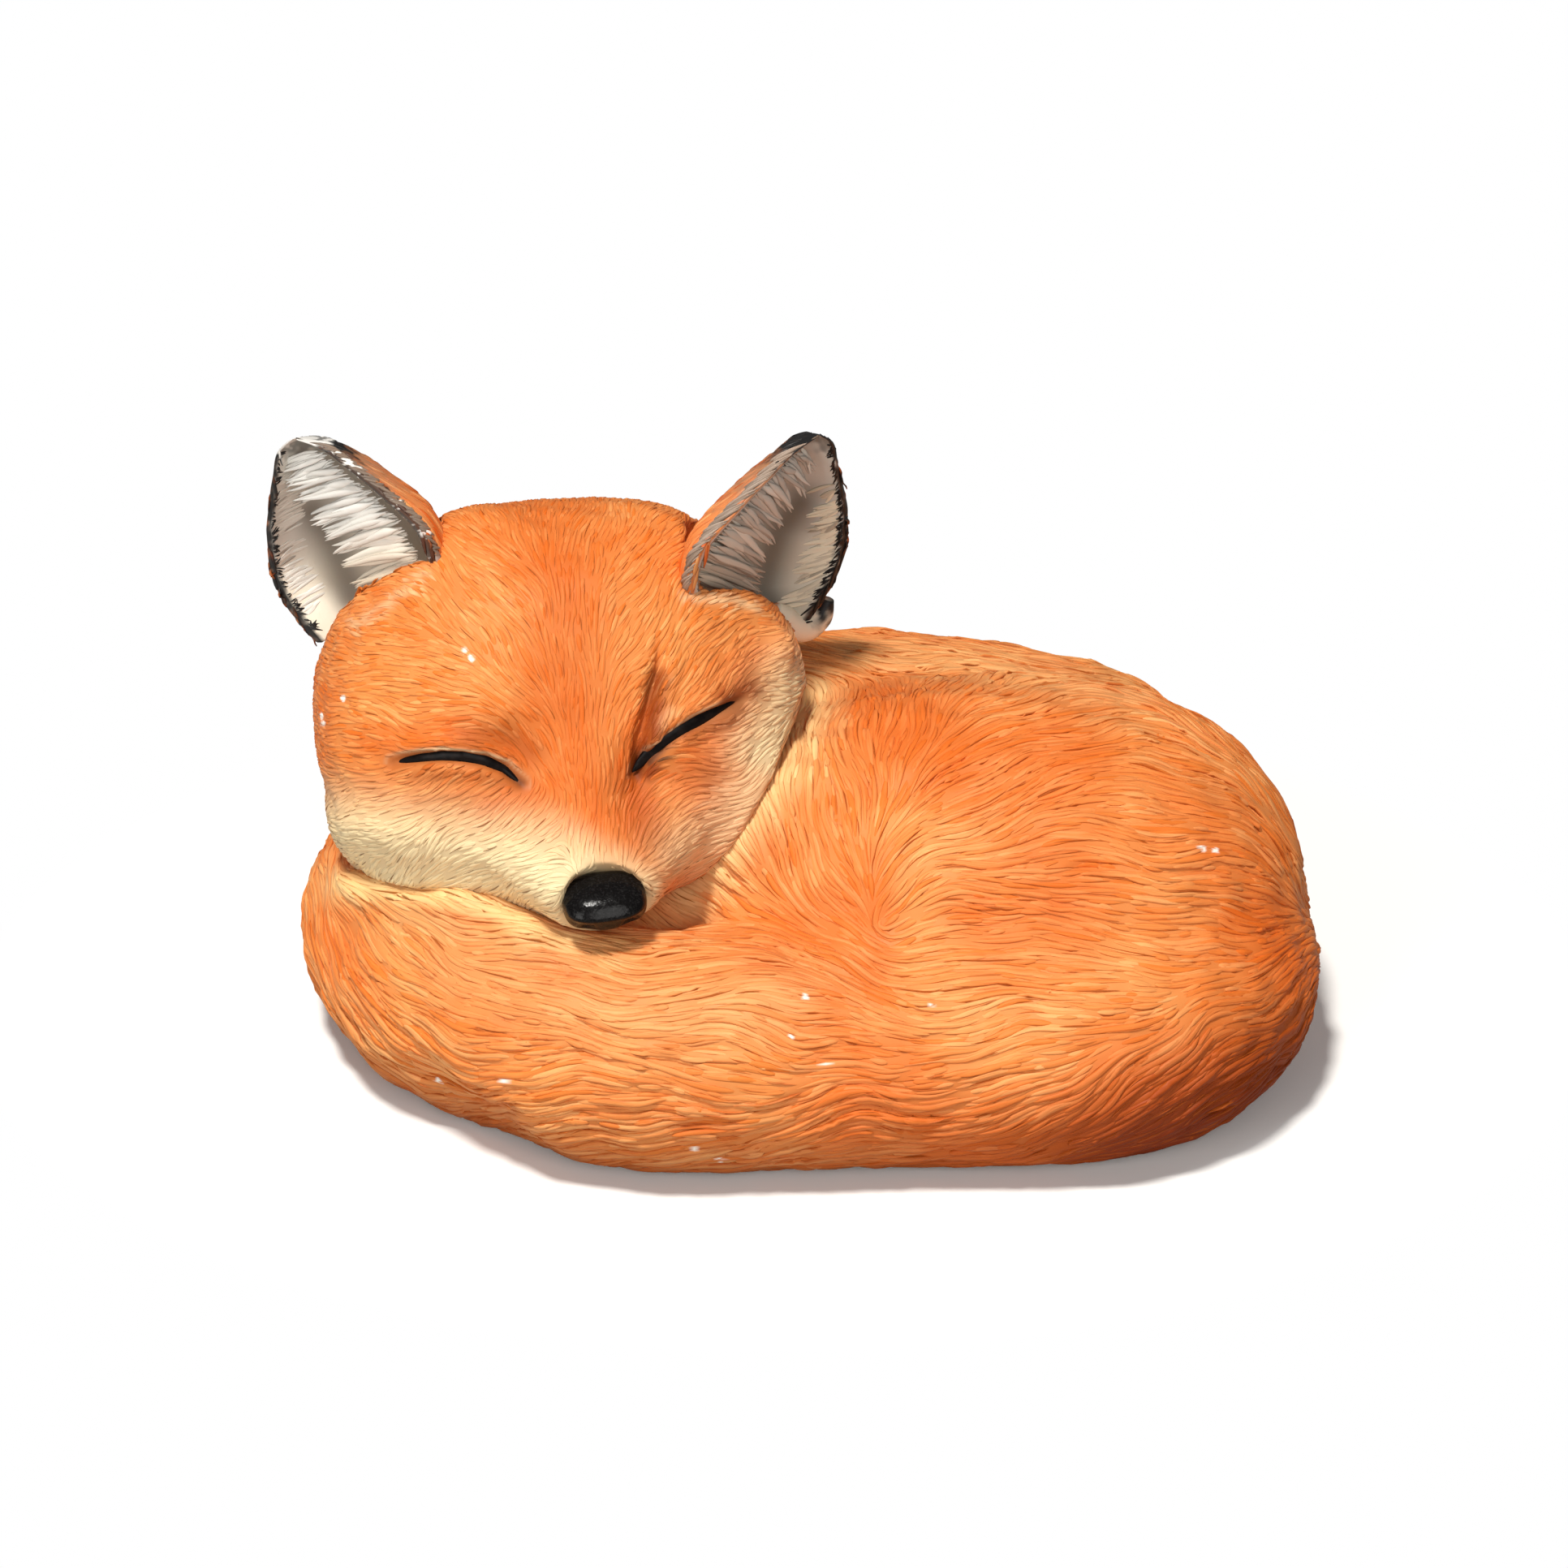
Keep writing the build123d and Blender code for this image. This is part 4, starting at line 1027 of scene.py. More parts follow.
class Paint:
    """A procedural material, built node by node."""

    def __init__(self, name):
        self.material = bpy.data.materials.new(name)
        self.material.use_nodes = True
        self.nodes = self.material.node_tree.nodes
        self.links = self.material.node_tree.links
        self.shader = self.nodes["Principled BSDF"]

    def feed(self, socket, value):
        """Links an output to a socket, or sets the socket to a constant."""
        if isinstance(value, bpy.types.NodeSocket):
            self.links.new(value, socket)
        else:
            socket.default_value = (*value, 1.0) if socket.type == "RGBA" else value

    def set(self, **values):
        """Feeds the shader's sockets by name, with an underscore for each space."""
        for key, value in values.items():
            self.feed(self.shader.inputs[key.replace("_", " ")], value)

    def node(self, kind, **values):
        """A new node with its sockets fed by name, with an underscore for each space."""
        made = self.nodes.new(kind)
        for key, value in values.items():
            self.feed(made.inputs[key.replace("_", " ")], value)
        return made

    def value(self, name):
        """A value that the mesh has at each corner."""
        node = self.nodes.new("ShaderNodeAttribute")
        node.attribute_name = name
        return node.outputs["Fac"]

    def place(self):
        """The place on the piece."""
        return self.nodes.new("ShaderNodeTexCoord").outputs["Object"]

    def noise(self, scale, detail=3.0):
        """Noise in space."""
        made = self.node("ShaderNodeTexNoise", Vector=self.place(), Scale=scale, Detail=detail,
                         Roughness=0.55)
        return made.outputs["Fac"]

    def lines(self, fine, long):
        """Noise drawn out along the strands."""
        across = self.times(self.value("lane"), fine)
        along = self.times(self.value("along"), long)
        where = self.node("ShaderNodeCombineXYZ", X=across, Y=along).outputs["Vector"]
        return self.node("ShaderNodeTexNoise", Vector=where, Scale=1.0, Detail=2.0).outputs["Fac"]

    def range(self, source, low, high, to_low=0.0, to_high=1.0):
        """A value moved from one range to another."""
        made = self.node("ShaderNodeMapRange", Value=source, From_Min=low, From_Max=high,
                         To_Min=to_low, To_Max=to_high)
        return made.outputs["Result"]

    def times(self, first, second):
        """The product of two values."""
        node = self.nodes.new("ShaderNodeMath")
        node.operation = "MULTIPLY"
        self.feed(node.inputs[0], first)
        self.feed(node.inputs[1], second)
        return node.outputs["Value"]

    def mix(self, factor, first, second):
        """One colour laid over another."""
        node = self.nodes.new("ShaderNodeMix")
        node.data_type = "RGBA"
        self.feed(node.inputs["Factor"], factor)
        self.feed(node.inputs[6], first)
        self.feed(node.inputs[7], second)
        return node.outputs[2]

    def bump(self, height, strength, distance):
        """Fine relief."""
        made = self.node("ShaderNodeBump", Height=height, Strength=strength, Distance=distance)
        self.set(Normal=made.outputs["Normal"])

    def rough(self, scale, low, high):
        """Roughness that varies between two values."""
        self.set(Roughness=self.range(self.noise(scale), 0.3, 0.7, low, high))


def coat_paint(name, light, deep, pale, groove, pale_groove):
    """Painted fur: strands with fine lines, streaks, pale zones, painted shade, chips."""
    paint = Paint(name)
    colour = paint.mix(paint.range(paint.value("tone"), -1.6, 1.6), light, deep)
    cloud = paint.range(paint.noise(38.0, 4.0), 0.42, 0.68)
    colour = paint.mix(paint.times(cloud, 0.6), colour, ORANGE_RED)
    line = paint.lines(2.6, 0.10)
    colour = paint.mix(paint.range(line, 0.52, 0.72, 0.0, 0.55), colour, ORANGE_RED)
    colour = paint.mix(paint.value("red"), colour, ORANGE_RED)
    zone = paint.value("pale")
    colour = paint.mix(zone, colour, pale)
    ink = paint.mix(zone, groove, pale_groove)
    colour = paint.mix(paint.range(line, 0.44, 0.30, 0.0, 0.35), colour, ink)
    # Painted shade: dark red-brown where shade falls
    colour = paint.mix(paint.value("dusk"), colour, SHADE_BROWN)
    colour = paint.mix(paint.range(paint.value("edge"), 0.66, 0.94, 0.0, 0.9), colour, ink)
    colour = paint.mix(paint.value("black"), colour, SOOT)
    colour = paint.mix(paint.value("chip"), colour, CHIP_WHITE)
    paint.set(Base_Color=colour, Specular_IOR_Level=0.18)
    paint.rough(260.0, 0.46, 0.60)
    paint.bump(line, 0.35, 0.0003)
    return paint.material


def facing_camera(normal):
    """1 where a surface faces the camera, 0 where it faces away."""
    return smooth_step(-0.15, 0.25, normal @ TO_EYE)


def pulled_back(past):
    """How far a place past an edge on the sheet goes back to it, with a soft bulge left over."""
    return past - EDGE_BULGE * (1 - np.exp(-past / EDGE_REACH))


def eyelid_rise(points, line, out):
    """How far points are above or below an eye slit, and a value that falls to 0 at its ends."""
    gap, along = line_distance(points, line)
    spot = np.clip((along * (len(line) - 1)).round().astype(int), 0, len(line) - 1)
    above = np.cross(out[spot], unit(np.gradient(line, axis=0))[spot])
    above *= np.sign(above @ SHEET_UP)[:, None]
    rise = ((points - line[spot]) * above).sum(1)
    ends = np.clip(np.sin(math.pi * np.clip(along, 0.02, 0.98)), 0, 1) ** 0.5
    return np.where(gap < EYELID_REACH, np.sign(rise) * gap, FAR_AWAY), ends


coat = coat_paint("coat", BODY_LIGHT, BODY_DEEP, BODY_CREAM, GROOVE, BODY_CREAM_GROOVE)
face_coat = coat_paint("face_coat", ORANGE_LIGHT, ORANGE_DEEP, FACE_CREAM, FACE_GROOVE, FACE_CREAM_GROOVE)

# Body: the casting's outside with a lid in its open underside, its valleys filled, then combed
angles = np.linspace(0, 2 * math.pi, LID_SIDES + 1)[:-1]
ring = np.array(LID_MIDDLE) + np.array(LID_RADII) * np.stack((np.cos(angles), np.sin(angles)), axis=1)
lid = [np.c_[ring, np.full(LID_SIDES, level)] for level in LID_LEVELS]
lid += [[(*LID_MIDDLE, level)] for level in LID_LEVELS]
lid_faces = []
for low in range(LID_SIDES):
    next_low = (low + 1) % LID_SIDES
    high = low + LID_SIDES
    next_high = next_low + LID_SIDES
    lid_faces += [(low, next_low, next_high), (low, next_high, high)]
    lid_faces += [(next_low, low, 2 * LID_SIDES), (high, next_high, 2 * LID_SIDES + 1)]
closed = joined((node_mesh("body_casting"), (np.concatenate(lid), lid_faces)))
corners, quads = remeshed(*closed, BODY_GRAIN)
middle = corners[quads].mean(1)
hollow = (((middle - HOLLOW_MIDDLE) / HOLLOW_REACH) ** 2).sum(1) < 1
mouth = ((((middle[:, :2] - LID_MIDDLE) / MOUTH_REACH) ** 2).sum(1) < 1) & (middle[:, 2] < MOUTH_TOP)
inner = (hollow | mouth) & (middle[:, 2] > INNER_BOTTOM)
kept, quads = np.unique(quads[~inner], return_inverse=True)
body = Skin(corners[kept], quads.reshape(-1, 4))
above_foot = smooth_step(*FOOT_SMOOTH, body.points[:, 2])
body.relax(6, above_foot)
body.fill(150, above_foot)
body.relax(6, above_foot)
body.brush(body.tree(), TAIL_LIP, TAIL_LIP_WAY)
sheet = to_sheet(body.points)
rim = np.interp(sheet[:, 0], CHIN_COLUMNS, CHIN_ENDS) + RIM_DROP
forward = np.interp(sheet[:, 0], RIM_COLUMNS, RIM_FORWARD)
forward *= bell((sheet[:, 1] - rim) / RIM_REACH) * smooth_step(*RIM_DEPTHS, body.points[:, 1])
body.points += forward[:, None] * TO_EYE
body.brush(body.tree(), BODY_BRUSHES)
normal = body.normals()
guides = guide_rows(body.tree(), BODY_STROKES, BODY_FAR_STROKES)
flow = flow_field(body, normal, guides, BODY_REACH, BODY_SWEEP)
find = Finder(body.points, 1.0)
outside = body.points[:, 2] > FOOT_FUR
seeds = seeds_on(body, CLUMP_CELL, outside)
clumps = comb(body, normal, flow, find, seeds, CLUMP_LENGTHS, CLUMP_SPACING, CLUMP_BEND)
wave, swell = carve(body.points, clumps, CLUMP_WIDTH, CLUMP_TAPER)
gap, _ = line_distance(to_sheet(body.points), BACK_FOLD)
fold = bell(gap / BACK_FOLD_REACH) * facing_camera(normal)
height = BODY_WAVES * waves(body.points, 11.0, 3) - CLUMP_GROOVE * wave
height = height + CLUMP_SWELL * swell - BACK_FOLD_DEPTH * fold
body.points += normal * (height * smooth_step(*FOOT_RELIEF, body.points[:, 2]))[:, None]
normal = body.normals()
find = Finder(body.points, 1.0)
ragged = 3.0 * waves(body.points, 9.0, 4)
low_tail = outside & (body.points[:, 2] + ragged < TAIL_TOP) & (body.points[:, 1] + ragged < TAIL_BACK)
fur = Coat(body)
for on_tail, cell, lengths, spacing, bend, rows, width, tall in BODY_PASSES:
    seeds = seeds_on(body, cell, low_tail if on_tail else outside & ~low_tail)
    strokes = comb(body, normal, flow, find, seeds, lengths, spacing, bend)
    fur.lay(strokes, rows, width, tall, BODY_SINK, width < LINE_WIDTH)
points, quads, facing, values = fur.join()

# Paint of the body: a strand takes its colour from a little beside it; foot and right end get painted shade
sheet = to_sheet(points) + np.outer(values["tone"], BODY_SCATTER)
seen = facing_camera(facing)
pale = zones(sheet, seen, BODY_PALE)
# Painted shade: darker towards the foot, and on the body's lower right end, which lies in shade
foot = sum(strength * smooth_step(high, low, points[:, 2]) for strength, high, low in FOOT_SHADE)
end = sheet[:, 1] + END_SLOPE * np.clip(sheet[:, 0] - END_COLUMN, 0, END_WIDTH)
end_dusk = smooth_step(*END_SHADE_ROWS, end) * (0.3 + 0.7 * smooth_step(*END_SHADE_COLUMNS, sheet[:, 0]))
dusk = np.maximum(foot, end_dusk) * smooth_step(*SHADE_HEIGHTS, points[:, 2])
# Painted shade also turns the lower right end redder
end_shade_red = 0.85 * smooth_step(*END_SHADE_RED_ROWS, end) * smooth_step(*END_SHADE_RED_COLUMNS, sheet[:, 0])
red = np.maximum(zones(sheet, seen, BODY_RED), end_shade_red)
chip = chips(points, seen, BODY_CHIPS, (1.0, 1.4), 1.5)
points[:, 2] = np.maximum(points[:, 2], BODY_BOTTOM)
piece("body_coat", points, quads, coat, "body_casting", "coat", pale=pale, dusk=np.clip(dusk, 0, 1),
      chip=chip, black=np.zeros(len(points)), red=red, **values)

# Head: the casting with its eye slots filled, then the eyes are cut again as arched slits
parts = [node_mesh("head_casting")]
for name in EYES:
    corners, triangles = node_mesh(name)
    middle = corners.mean(0)
    parts.append(((corners - middle) * EYE_PLUG + middle, triangles))
head = Skin(*remeshed(*joined(parts), HEAD_GRAIN))
head.relax(6)
ear_gap = np.min(np.linalg.norm(head.points[:, None] - np.array(EAR_FEET), axis=2), axis=1)
nose_gap = np.linalg.norm(head.points - NOSE_SPOT, axis=1)
mask = smooth_step(*EAR_SPARED, ear_gap) * smooth_step(*NOSE_SPARED, nose_gap)
head.fill(160, mask)
head.relax(8, mask)
tree = head.tree()
head.brush(tree, HEAD_BRUSHES)

# The cheek and the chin end at their edges, and the chin is tucked under
sheet = to_sheet(head.points)
past = np.maximum(sheet[:, 0] - np.interp(sheet[:, 1], CHEEK_ROWS, CHEEK_ENDS), 0)
past *= smooth_step(*CHEEK_FROM, sheet[:, 1])
head.points[:, 0] -= pulled_back(past) * sheet_unit(head.points)
head.points[:, 0] -= JOWL_OUT * np.exp(-(((sheet - JOWL) / JOWL_REACH) ** 2).sum(1))
below = sheet[:, 1] - np.interp(sheet[:, 0], CHIN_COLUMNS, CHIN_ENDS)
past = np.maximum(below, 0) * smooth_step(*CHIN_TO, sheet[:, 0])
rise = pulled_back(past) * sheet_unit(head.points)
head.points += rise[:, None] * SHEET_UP
tuck = np.interp(sheet[:, 0], TUCK_COLUMNS, TUCK_BACK)
tuck *= smooth_step(*TUCK_ROWS, below) * smooth_step(*TUCK_DEPTHS, head.points[:, 1])
head.points -= tuck[:, None] * TO_EYE
head.brush(tree, HEAD_LIFTS, SHEET_UP)

# Relief of the head: the slits with their lids, and the fold beside the right brow
normal = head.normals()
tree = head.tree()
slits = []
for line in (LEFT_SLIT, RIGHT_SLIT):
    hits = [cast(tree, x, y) for x, y in line]
    slits.append([np.array(column) for column in zip(*hits)])
flow = flow_field(head, normal, guide_rows(tree, HEAD_STROKES, HEAD_FAR_STROKES), HEAD_REACH, HEAD_SWEEP)
height = 0.12 * waves(head.points, 7.0, 8)
for line, out in slits:
    rise, ends = eyelid_rise(head.points, line, out)
    for tall, above, reach in EYELID_RELIEF:
        height += ends * tall * bell((rise - above) / reach)
sheet = to_sheet(head.points)
gap, _ = line_distance(sheet, BROW)
brow_columns, brow_rows = zip(*BROW)
side = sheet[:, 0] - np.interp(sheet[:, 1], brow_rows, brow_columns)
near = bell(gap / BROW_NEAR) * facing_camera(normal)
for tall, beside, reach in BROW_RELIEF:
    height += near * tall * bell((side - beside) / reach)
head.points += normal * height[:, None]
normal = head.normals()
find = Finder(head.points, 0.8)
fur = Coat(head)
everywhere = np.ones(len(head.points), bool)
nose_line = np.array(NOSE_SPOT) - ((0, 1, 0), (0, 0, 0))
for lengths, spacing, rows, width, tall in HEAD_PASSES:
    strokes = comb(head, normal, flow, find, seeds_on(head, 0.6, everywhere), lengths, spacing, HEAD_BEND)
    for line, _ in slits:
        strokes = clear_of(strokes, line, SLIT_CLEAR, SHORTEST_CUT)
    strokes = clear_of(strokes, nose_line, NOSE_CLEAR, SHORTEST_CUT)
    fur.lay(strokes, rows, width, tall, HEAD_SINK, width < LINE_WIDTH)
points, quads, facing, values = fur.join()

# Paint of the head: lids, cream muzzle, zones with painted shade and a highlight, a dark edge round the nose
sheet = to_sheet(points) + np.outer(values["tone"], HEAD_SCATTER)
seen = facing_camera(facing)
under = np.interp(sheet[:, 0], CREAM_COLUMNS, CREAM_STARTS)
blur = np.interp(sheet[:, 0], BLUR_COLUMNS, CREAM_BLUR)
cream = smooth_step(-1.1, 0.9, (sheet[:, 1] - under) / blur) * smooth_step(850, 800, sheet[:, 0])
pale = zones(sheet, seen, HEAD_PALE, cream * seen)
dusk = zones(sheet, seen, HEAD_SHADE)
black = zones(sheet, seen, HEAD_BLACK)
for line, out in slits:
    rise, ends = eyelid_rise(points, line, out)
    pale = np.maximum(pale, 0.9 * ends * bell((rise - 1.35) / 0.32))
    black = np.maximum(black, ends * bell(rise / 0.85))
    # Painted shade round each slit
    dusk = np.maximum(dusk, 0.4 * bell(rise / 2.2) * (np.abs(rise) < EYELID_REACH))
red = zones(sheet, seen, HEAD_RED)
chip = chips(points, seen, HEAD_CHIPS, (1.3, 1.0), 1.2)
nose_gap = np.linalg.norm(points - NOSE_SPOT, axis=1)
black = np.maximum(black, 0.35 * smooth_step(6.2, 5.0, nose_gap + 0.5 * values["tone"]))
piece("head_coat", points, quads, face_coat, "head_casting", "face_coat", pale=pale, dusk=np.clip(dusk, 0, 1),
      chip=chip, black=np.clip(black, 0, 1), red=red, **values)

# Eyes: glossy strips that lie in the slits
eye_paint = Paint("eye_gloss")
cloud = eye_paint.range(eye_paint.noise(700.0), 0.4, 0.7)
eye_paint.set(Base_Color=eye_paint.mix(cloud, EYE_BLACK, EYE_BROWN), Roughness=0.34, Specular_IOR_Level=0.12)
eye_paint.bump(eye_paint.noise(1200.0, 2.0), 0.06, 0.0003)
for name, thick, (line, out) in zip(EYES, EYE_THICK, slits):
    share = np.linspace(0, 1, 60)
    centre = resample(line, share)
    lift = unit(resample(out, share))
    centre[1:-1] = (centre[:-2] + centre[1:-1] + centre[2:]) / 3
    across = np.cross(lift, unit(np.gradient(centre, axis=0)))
    width = thick * np.sin(math.pi * np.clip(share ** 1.2, 0.005, 0.995)) ** 0.75 + 0.04
    strip = rod(centre - EYE_SINK * lift, across, lift, width, 0.5 * width, 20)
    piece(name + "_slit", *strip, eye_paint.material, name, "eye_gloss")


def turned(axis, degrees):
    """The matrix of a turn round the x or the z axis."""
    c = math.cos(math.radians(degrees))
    s = math.sin(math.radians(degrees))
    if axis == "x":
        return np.array(((1, 0, 0), (0, c, -s), (0, s, c)))
    return np.array(((c, -s, 0), (s, c, 0), (0, 0, 1)))


def boxy(values):
    """Values from -1 to 1 pushed outwards, which makes a round form a little square."""
    return np.sign(values) * np.abs(values) ** (1 / 1.35)


# Nose: a rounded block in the turned frame of the head, with two nostrils and a ridge
head_frame = turned("z", HEAD_TURN) @ turned("x", HEAD_NOD) @ turned("z", HEAD_ROLL)
nose_middle = np.array(HEAD_MIDDLE) + head_frame @ NOSE_OFFSET
row = np.linspace(-math.pi / 2, math.pi / 2, 74)[1:-1, None]
turn = np.linspace(0, 2 * math.pi, 96, endpoint=False)
block = (boxy(np.cos(turn)) * boxy(np.cos(row)), boxy(np.sin(turn)) * boxy(np.cos(row)),
         boxy(np.sin(row)) * np.ones_like(turn))
nose = np.stack(block, axis=-1) * NOSE_RADII
nostril = bell((np.abs(nose[..., 0]) - NOSTRIL[0]) / NOSTRIL_REACH[0])
nostril *= bell((nose[..., 1] - NOSTRIL[1]) / NOSTRIL_REACH[1])
nose[..., 2] -= NOSTRIL_DEPTH * nostril * smooth_step(2.0, 4.5, nose[..., 2])
ridge = bell((nose[..., 1] - RIDGE_ROW) / RIDGE_REACH)
nose[..., 2] += RIDGE_HEIGHT * ridge * smooth_step(0, 4, nose[..., 2])
nose_paint = Paint("nose_gloss")
speck = nose_paint.range(nose_paint.noise(2600.0, 2.0), 0.5, 0.72)
nose_paint.set(Base_Color=nose_paint.mix(speck, NOSE_BLACK, NOSE_SPECK), Specular_IOR_Level=0.16)
nose_paint.rough(900.0, 0.14, 0.25)
nose_paint.bump(nose_paint.noise(2200.0, 2.0), 0.14, 0.0004)
piece("nose_pad", *tube(nose_middle + nose @ head_frame.T), nose_paint.material, "nose", "nose_gloss")


def satin(paint, colour, dullest):
    """The finish that the ears and the tufts share."""
    paint.set(Base_Color=colour, Specular_IOR_Level=0.4)
    paint.rough(300.0, 0.4, dullest)
    paint.bump(paint.noise(1400.0), 0.12, 0.0004)


# Ears: cupped leaves with hair along their rims, and tufts over their cups
ear_paint = Paint("ear_shell")
tone = ear_paint.value("tone")
lining = ear_paint.value("inside")
colour = ear_paint.mix(ear_paint.range(tone, -1.6, 1.6), ORANGE_LIGHT, ORANGE_RED)
for attribute, tint in EAR_TINTS:
    colour = ear_paint.mix(ear_paint.value(attribute), colour, tint)
streaks = ear_paint.times(ear_paint.range(tone, 0.2, 1.8, 0.0, 0.6), lining)
colour = ear_paint.mix(streaks, colour, EAR_GROOVE)
ink = ear_paint.mix(lining, GROOVE, EAR_GROOVE)
colour = ear_paint.mix(ear_paint.range(ear_paint.value("edge"), 0.66, 0.94, 0.0, 0.85), colour, ink)
colour = ear_paint.mix(ear_paint.value("black"), colour, EAR_BLACK)
colour = ear_paint.mix(ear_paint.value("chip"), colour, EAR_CHIP)
satin(ear_paint, colour, 0.58)
tuft_paint = Paint("ear_tuft")
colour = tuft_paint.mix(tuft_paint.value("warm"), TUFT_WHITE, TUFT_WARM)
colour = tuft_paint.mix(tuft_paint.range(tuft_paint.value("groove"), 0.1, 1.0, 0.0, 0.6), colour, TUFT_GROOVE)
# Painted shade laid over the tufts
colour = tuft_paint.mix(tuft_paint.value("tuft_shade"), colour, TUFT_SHADE)
satin(tuft_paint, colour, 0.6)


def softened(rows):
    """Rows smoothed along a line whose ends stay."""
    for _ in range(12):
        rows[1:-1] = (rows[:-2] + 2 * rows[1:-1] + rows[2:]) / 4
    return rows


def ear_leaf(foot, tip, yaw, medial, bulge, flat, skirt, cut):
    """A leaf's skin, its grids of height and angle, and a way to place points in its cup."""
    foot = np.array(foot, float)
    reach = np.array(tip, float) - foot
    length = float(np.linalg.norm(reach))
    along = unit(reach)
    across = np.array((math.cos(math.radians(yaw)), math.sin(math.radians(yaw)), 0.0))
    across = unit(across - along * (across @ along))
    back = np.cross(along, across)
    rows, cols = 150, 110
    u = np.linspace(EAR_LOW, EAR_HIGH, rows)
    half = softened(np.interp(u, *zip(*EAR_SHAPE)))
    phi = np.linspace(0, math.pi, cols)
    wall = 2.6 * (1 - 0.72 * np.clip(u, 0, 1))
    blend = smooth_step(-0.3, 0.3, medial * np.cos(phi))
    rings = []
    for k in range(rows):
        w = half[k] * EAR_WIDTH / 2
        t = min(wall[k], 0.45 * w)
        near = 1 + bulge * bell((u[k] - 0.45) / 0.33)
        far = 1 + skirt * bell((u[k] - 0.15) / 0.32) - cut * bell((u[k] - 0.85) / 0.2)
        wide = w * (near * blend + far * (1 - blend))
        deep = half[k] * EAR_CUP * (1 - flat * blend)
        outer = np.stack((wide * np.cos(phi), deep * np.sin(phi)), axis=1)
        inner = np.stack(((wide - t) * np.cos(phi), (deep - t) * np.sin(phi)), axis=1)[::-1]
        ring = np.concatenate((outer, inner))
        ring = foot + np.outer(ring[:, 0], across) + np.outer(ring[:, 1], back)
        rings.append(ring + along * (u[k] * length))
    skin = Skin(*tube(rings))
    skin.relax(3)
    angle = np.tile(np.concatenate((phi, phi[::-1])), (rows, 1))
    level = np.repeat(u[:, None], 2 * cols, axis=1)

    def meet(x, y, depth):
        """Where a ray through the sheet meets the plane of the rims, or one so far behind it."""
        level_point = foot + along * (0.55 * length) + back * depth
        ray = aim(x, y)
        return EYE + ray * (((level_point - EYE) @ back) / (ray @ back))

    return SimpleNamespace(skin=skin, angle=angle if medial > 0 else math.pi - angle, level=level,
                           half=half * EAR_WIDTH / 2, length=length, meet=meet, front=-back, along=along)


def leaf_paint(leaf, medial_black, far_black, shade_line, shade):
    """The paint values of a leaf, by name, at each of its corners."""
    points = leaf.skin.points
    grid = leaf.angle.shape
    inside = np.zeros(grid)
    inside[:, grid[1] // 2:] = 1
    near = leaf.angle * leaf.half[:, None]
    far = (math.pi - leaf.angle) * leaf.half[:, None]
    tip_gap = (EAR_HIGH - leaf.level) * leaf.length
    coarse = waves(points, 1.7, 11).reshape(grid)
    ragged = 0.7 * coarse + 0.5 * waves(points, 3.5, 12).reshape(grid)
    black = smooth_step(1.9, 1.0, near + 0.6 * ragged) * smooth_step(-0.05, 0.2, leaf.level) * medial_black
    black = np.maximum(black, smooth_step(far_black + 0.5, far_black - 0.6, far + 0.3 * ragged))
    black = np.maximum(black, smooth_step(6.5, 3.0, tip_gap + 1.4 * ragged) * (1 - 0.4 * inside))
    brown = smooth_step(17, 5, tip_gap + 2 * ragged) * (1 - inside) * 0.75
    pale = inside * smooth_step(0.45, 0.05, leaf.level) * 0.65
    gap, _ = line_distance(to_sheet(points), shade_line)
    # Painted shade deep in the cup and along its darkest line
    hollow = inside * np.sin(leaf.angle) ** 2.2 * smooth_step(1.0, 0.35, leaf.level) * 0.5
    hollow = shade * np.maximum(hollow, inside * bell(gap / 30).reshape(grid))
    chip = 0.7 * smooth_step(0.95, 1.1, waves(points, 0.9, 21).reshape(grid))
    chip *= smooth_step(1.8, 0.9, near) * smooth_step(0.2, 0.35, leaf.level)
    chip = np.maximum(chip, smooth_step(2.4, 1.4, tip_gap + 0.8 * coarse) * 0.8) * (medial_black > 0.5)
    layer = {"inside": inside, "black": black, "brown": brown, "pale": pale, "chip": chip, "hollow": hollow}
    return {key: np.clip(values, 0, 1).ravel() for key, values in layer.items()}


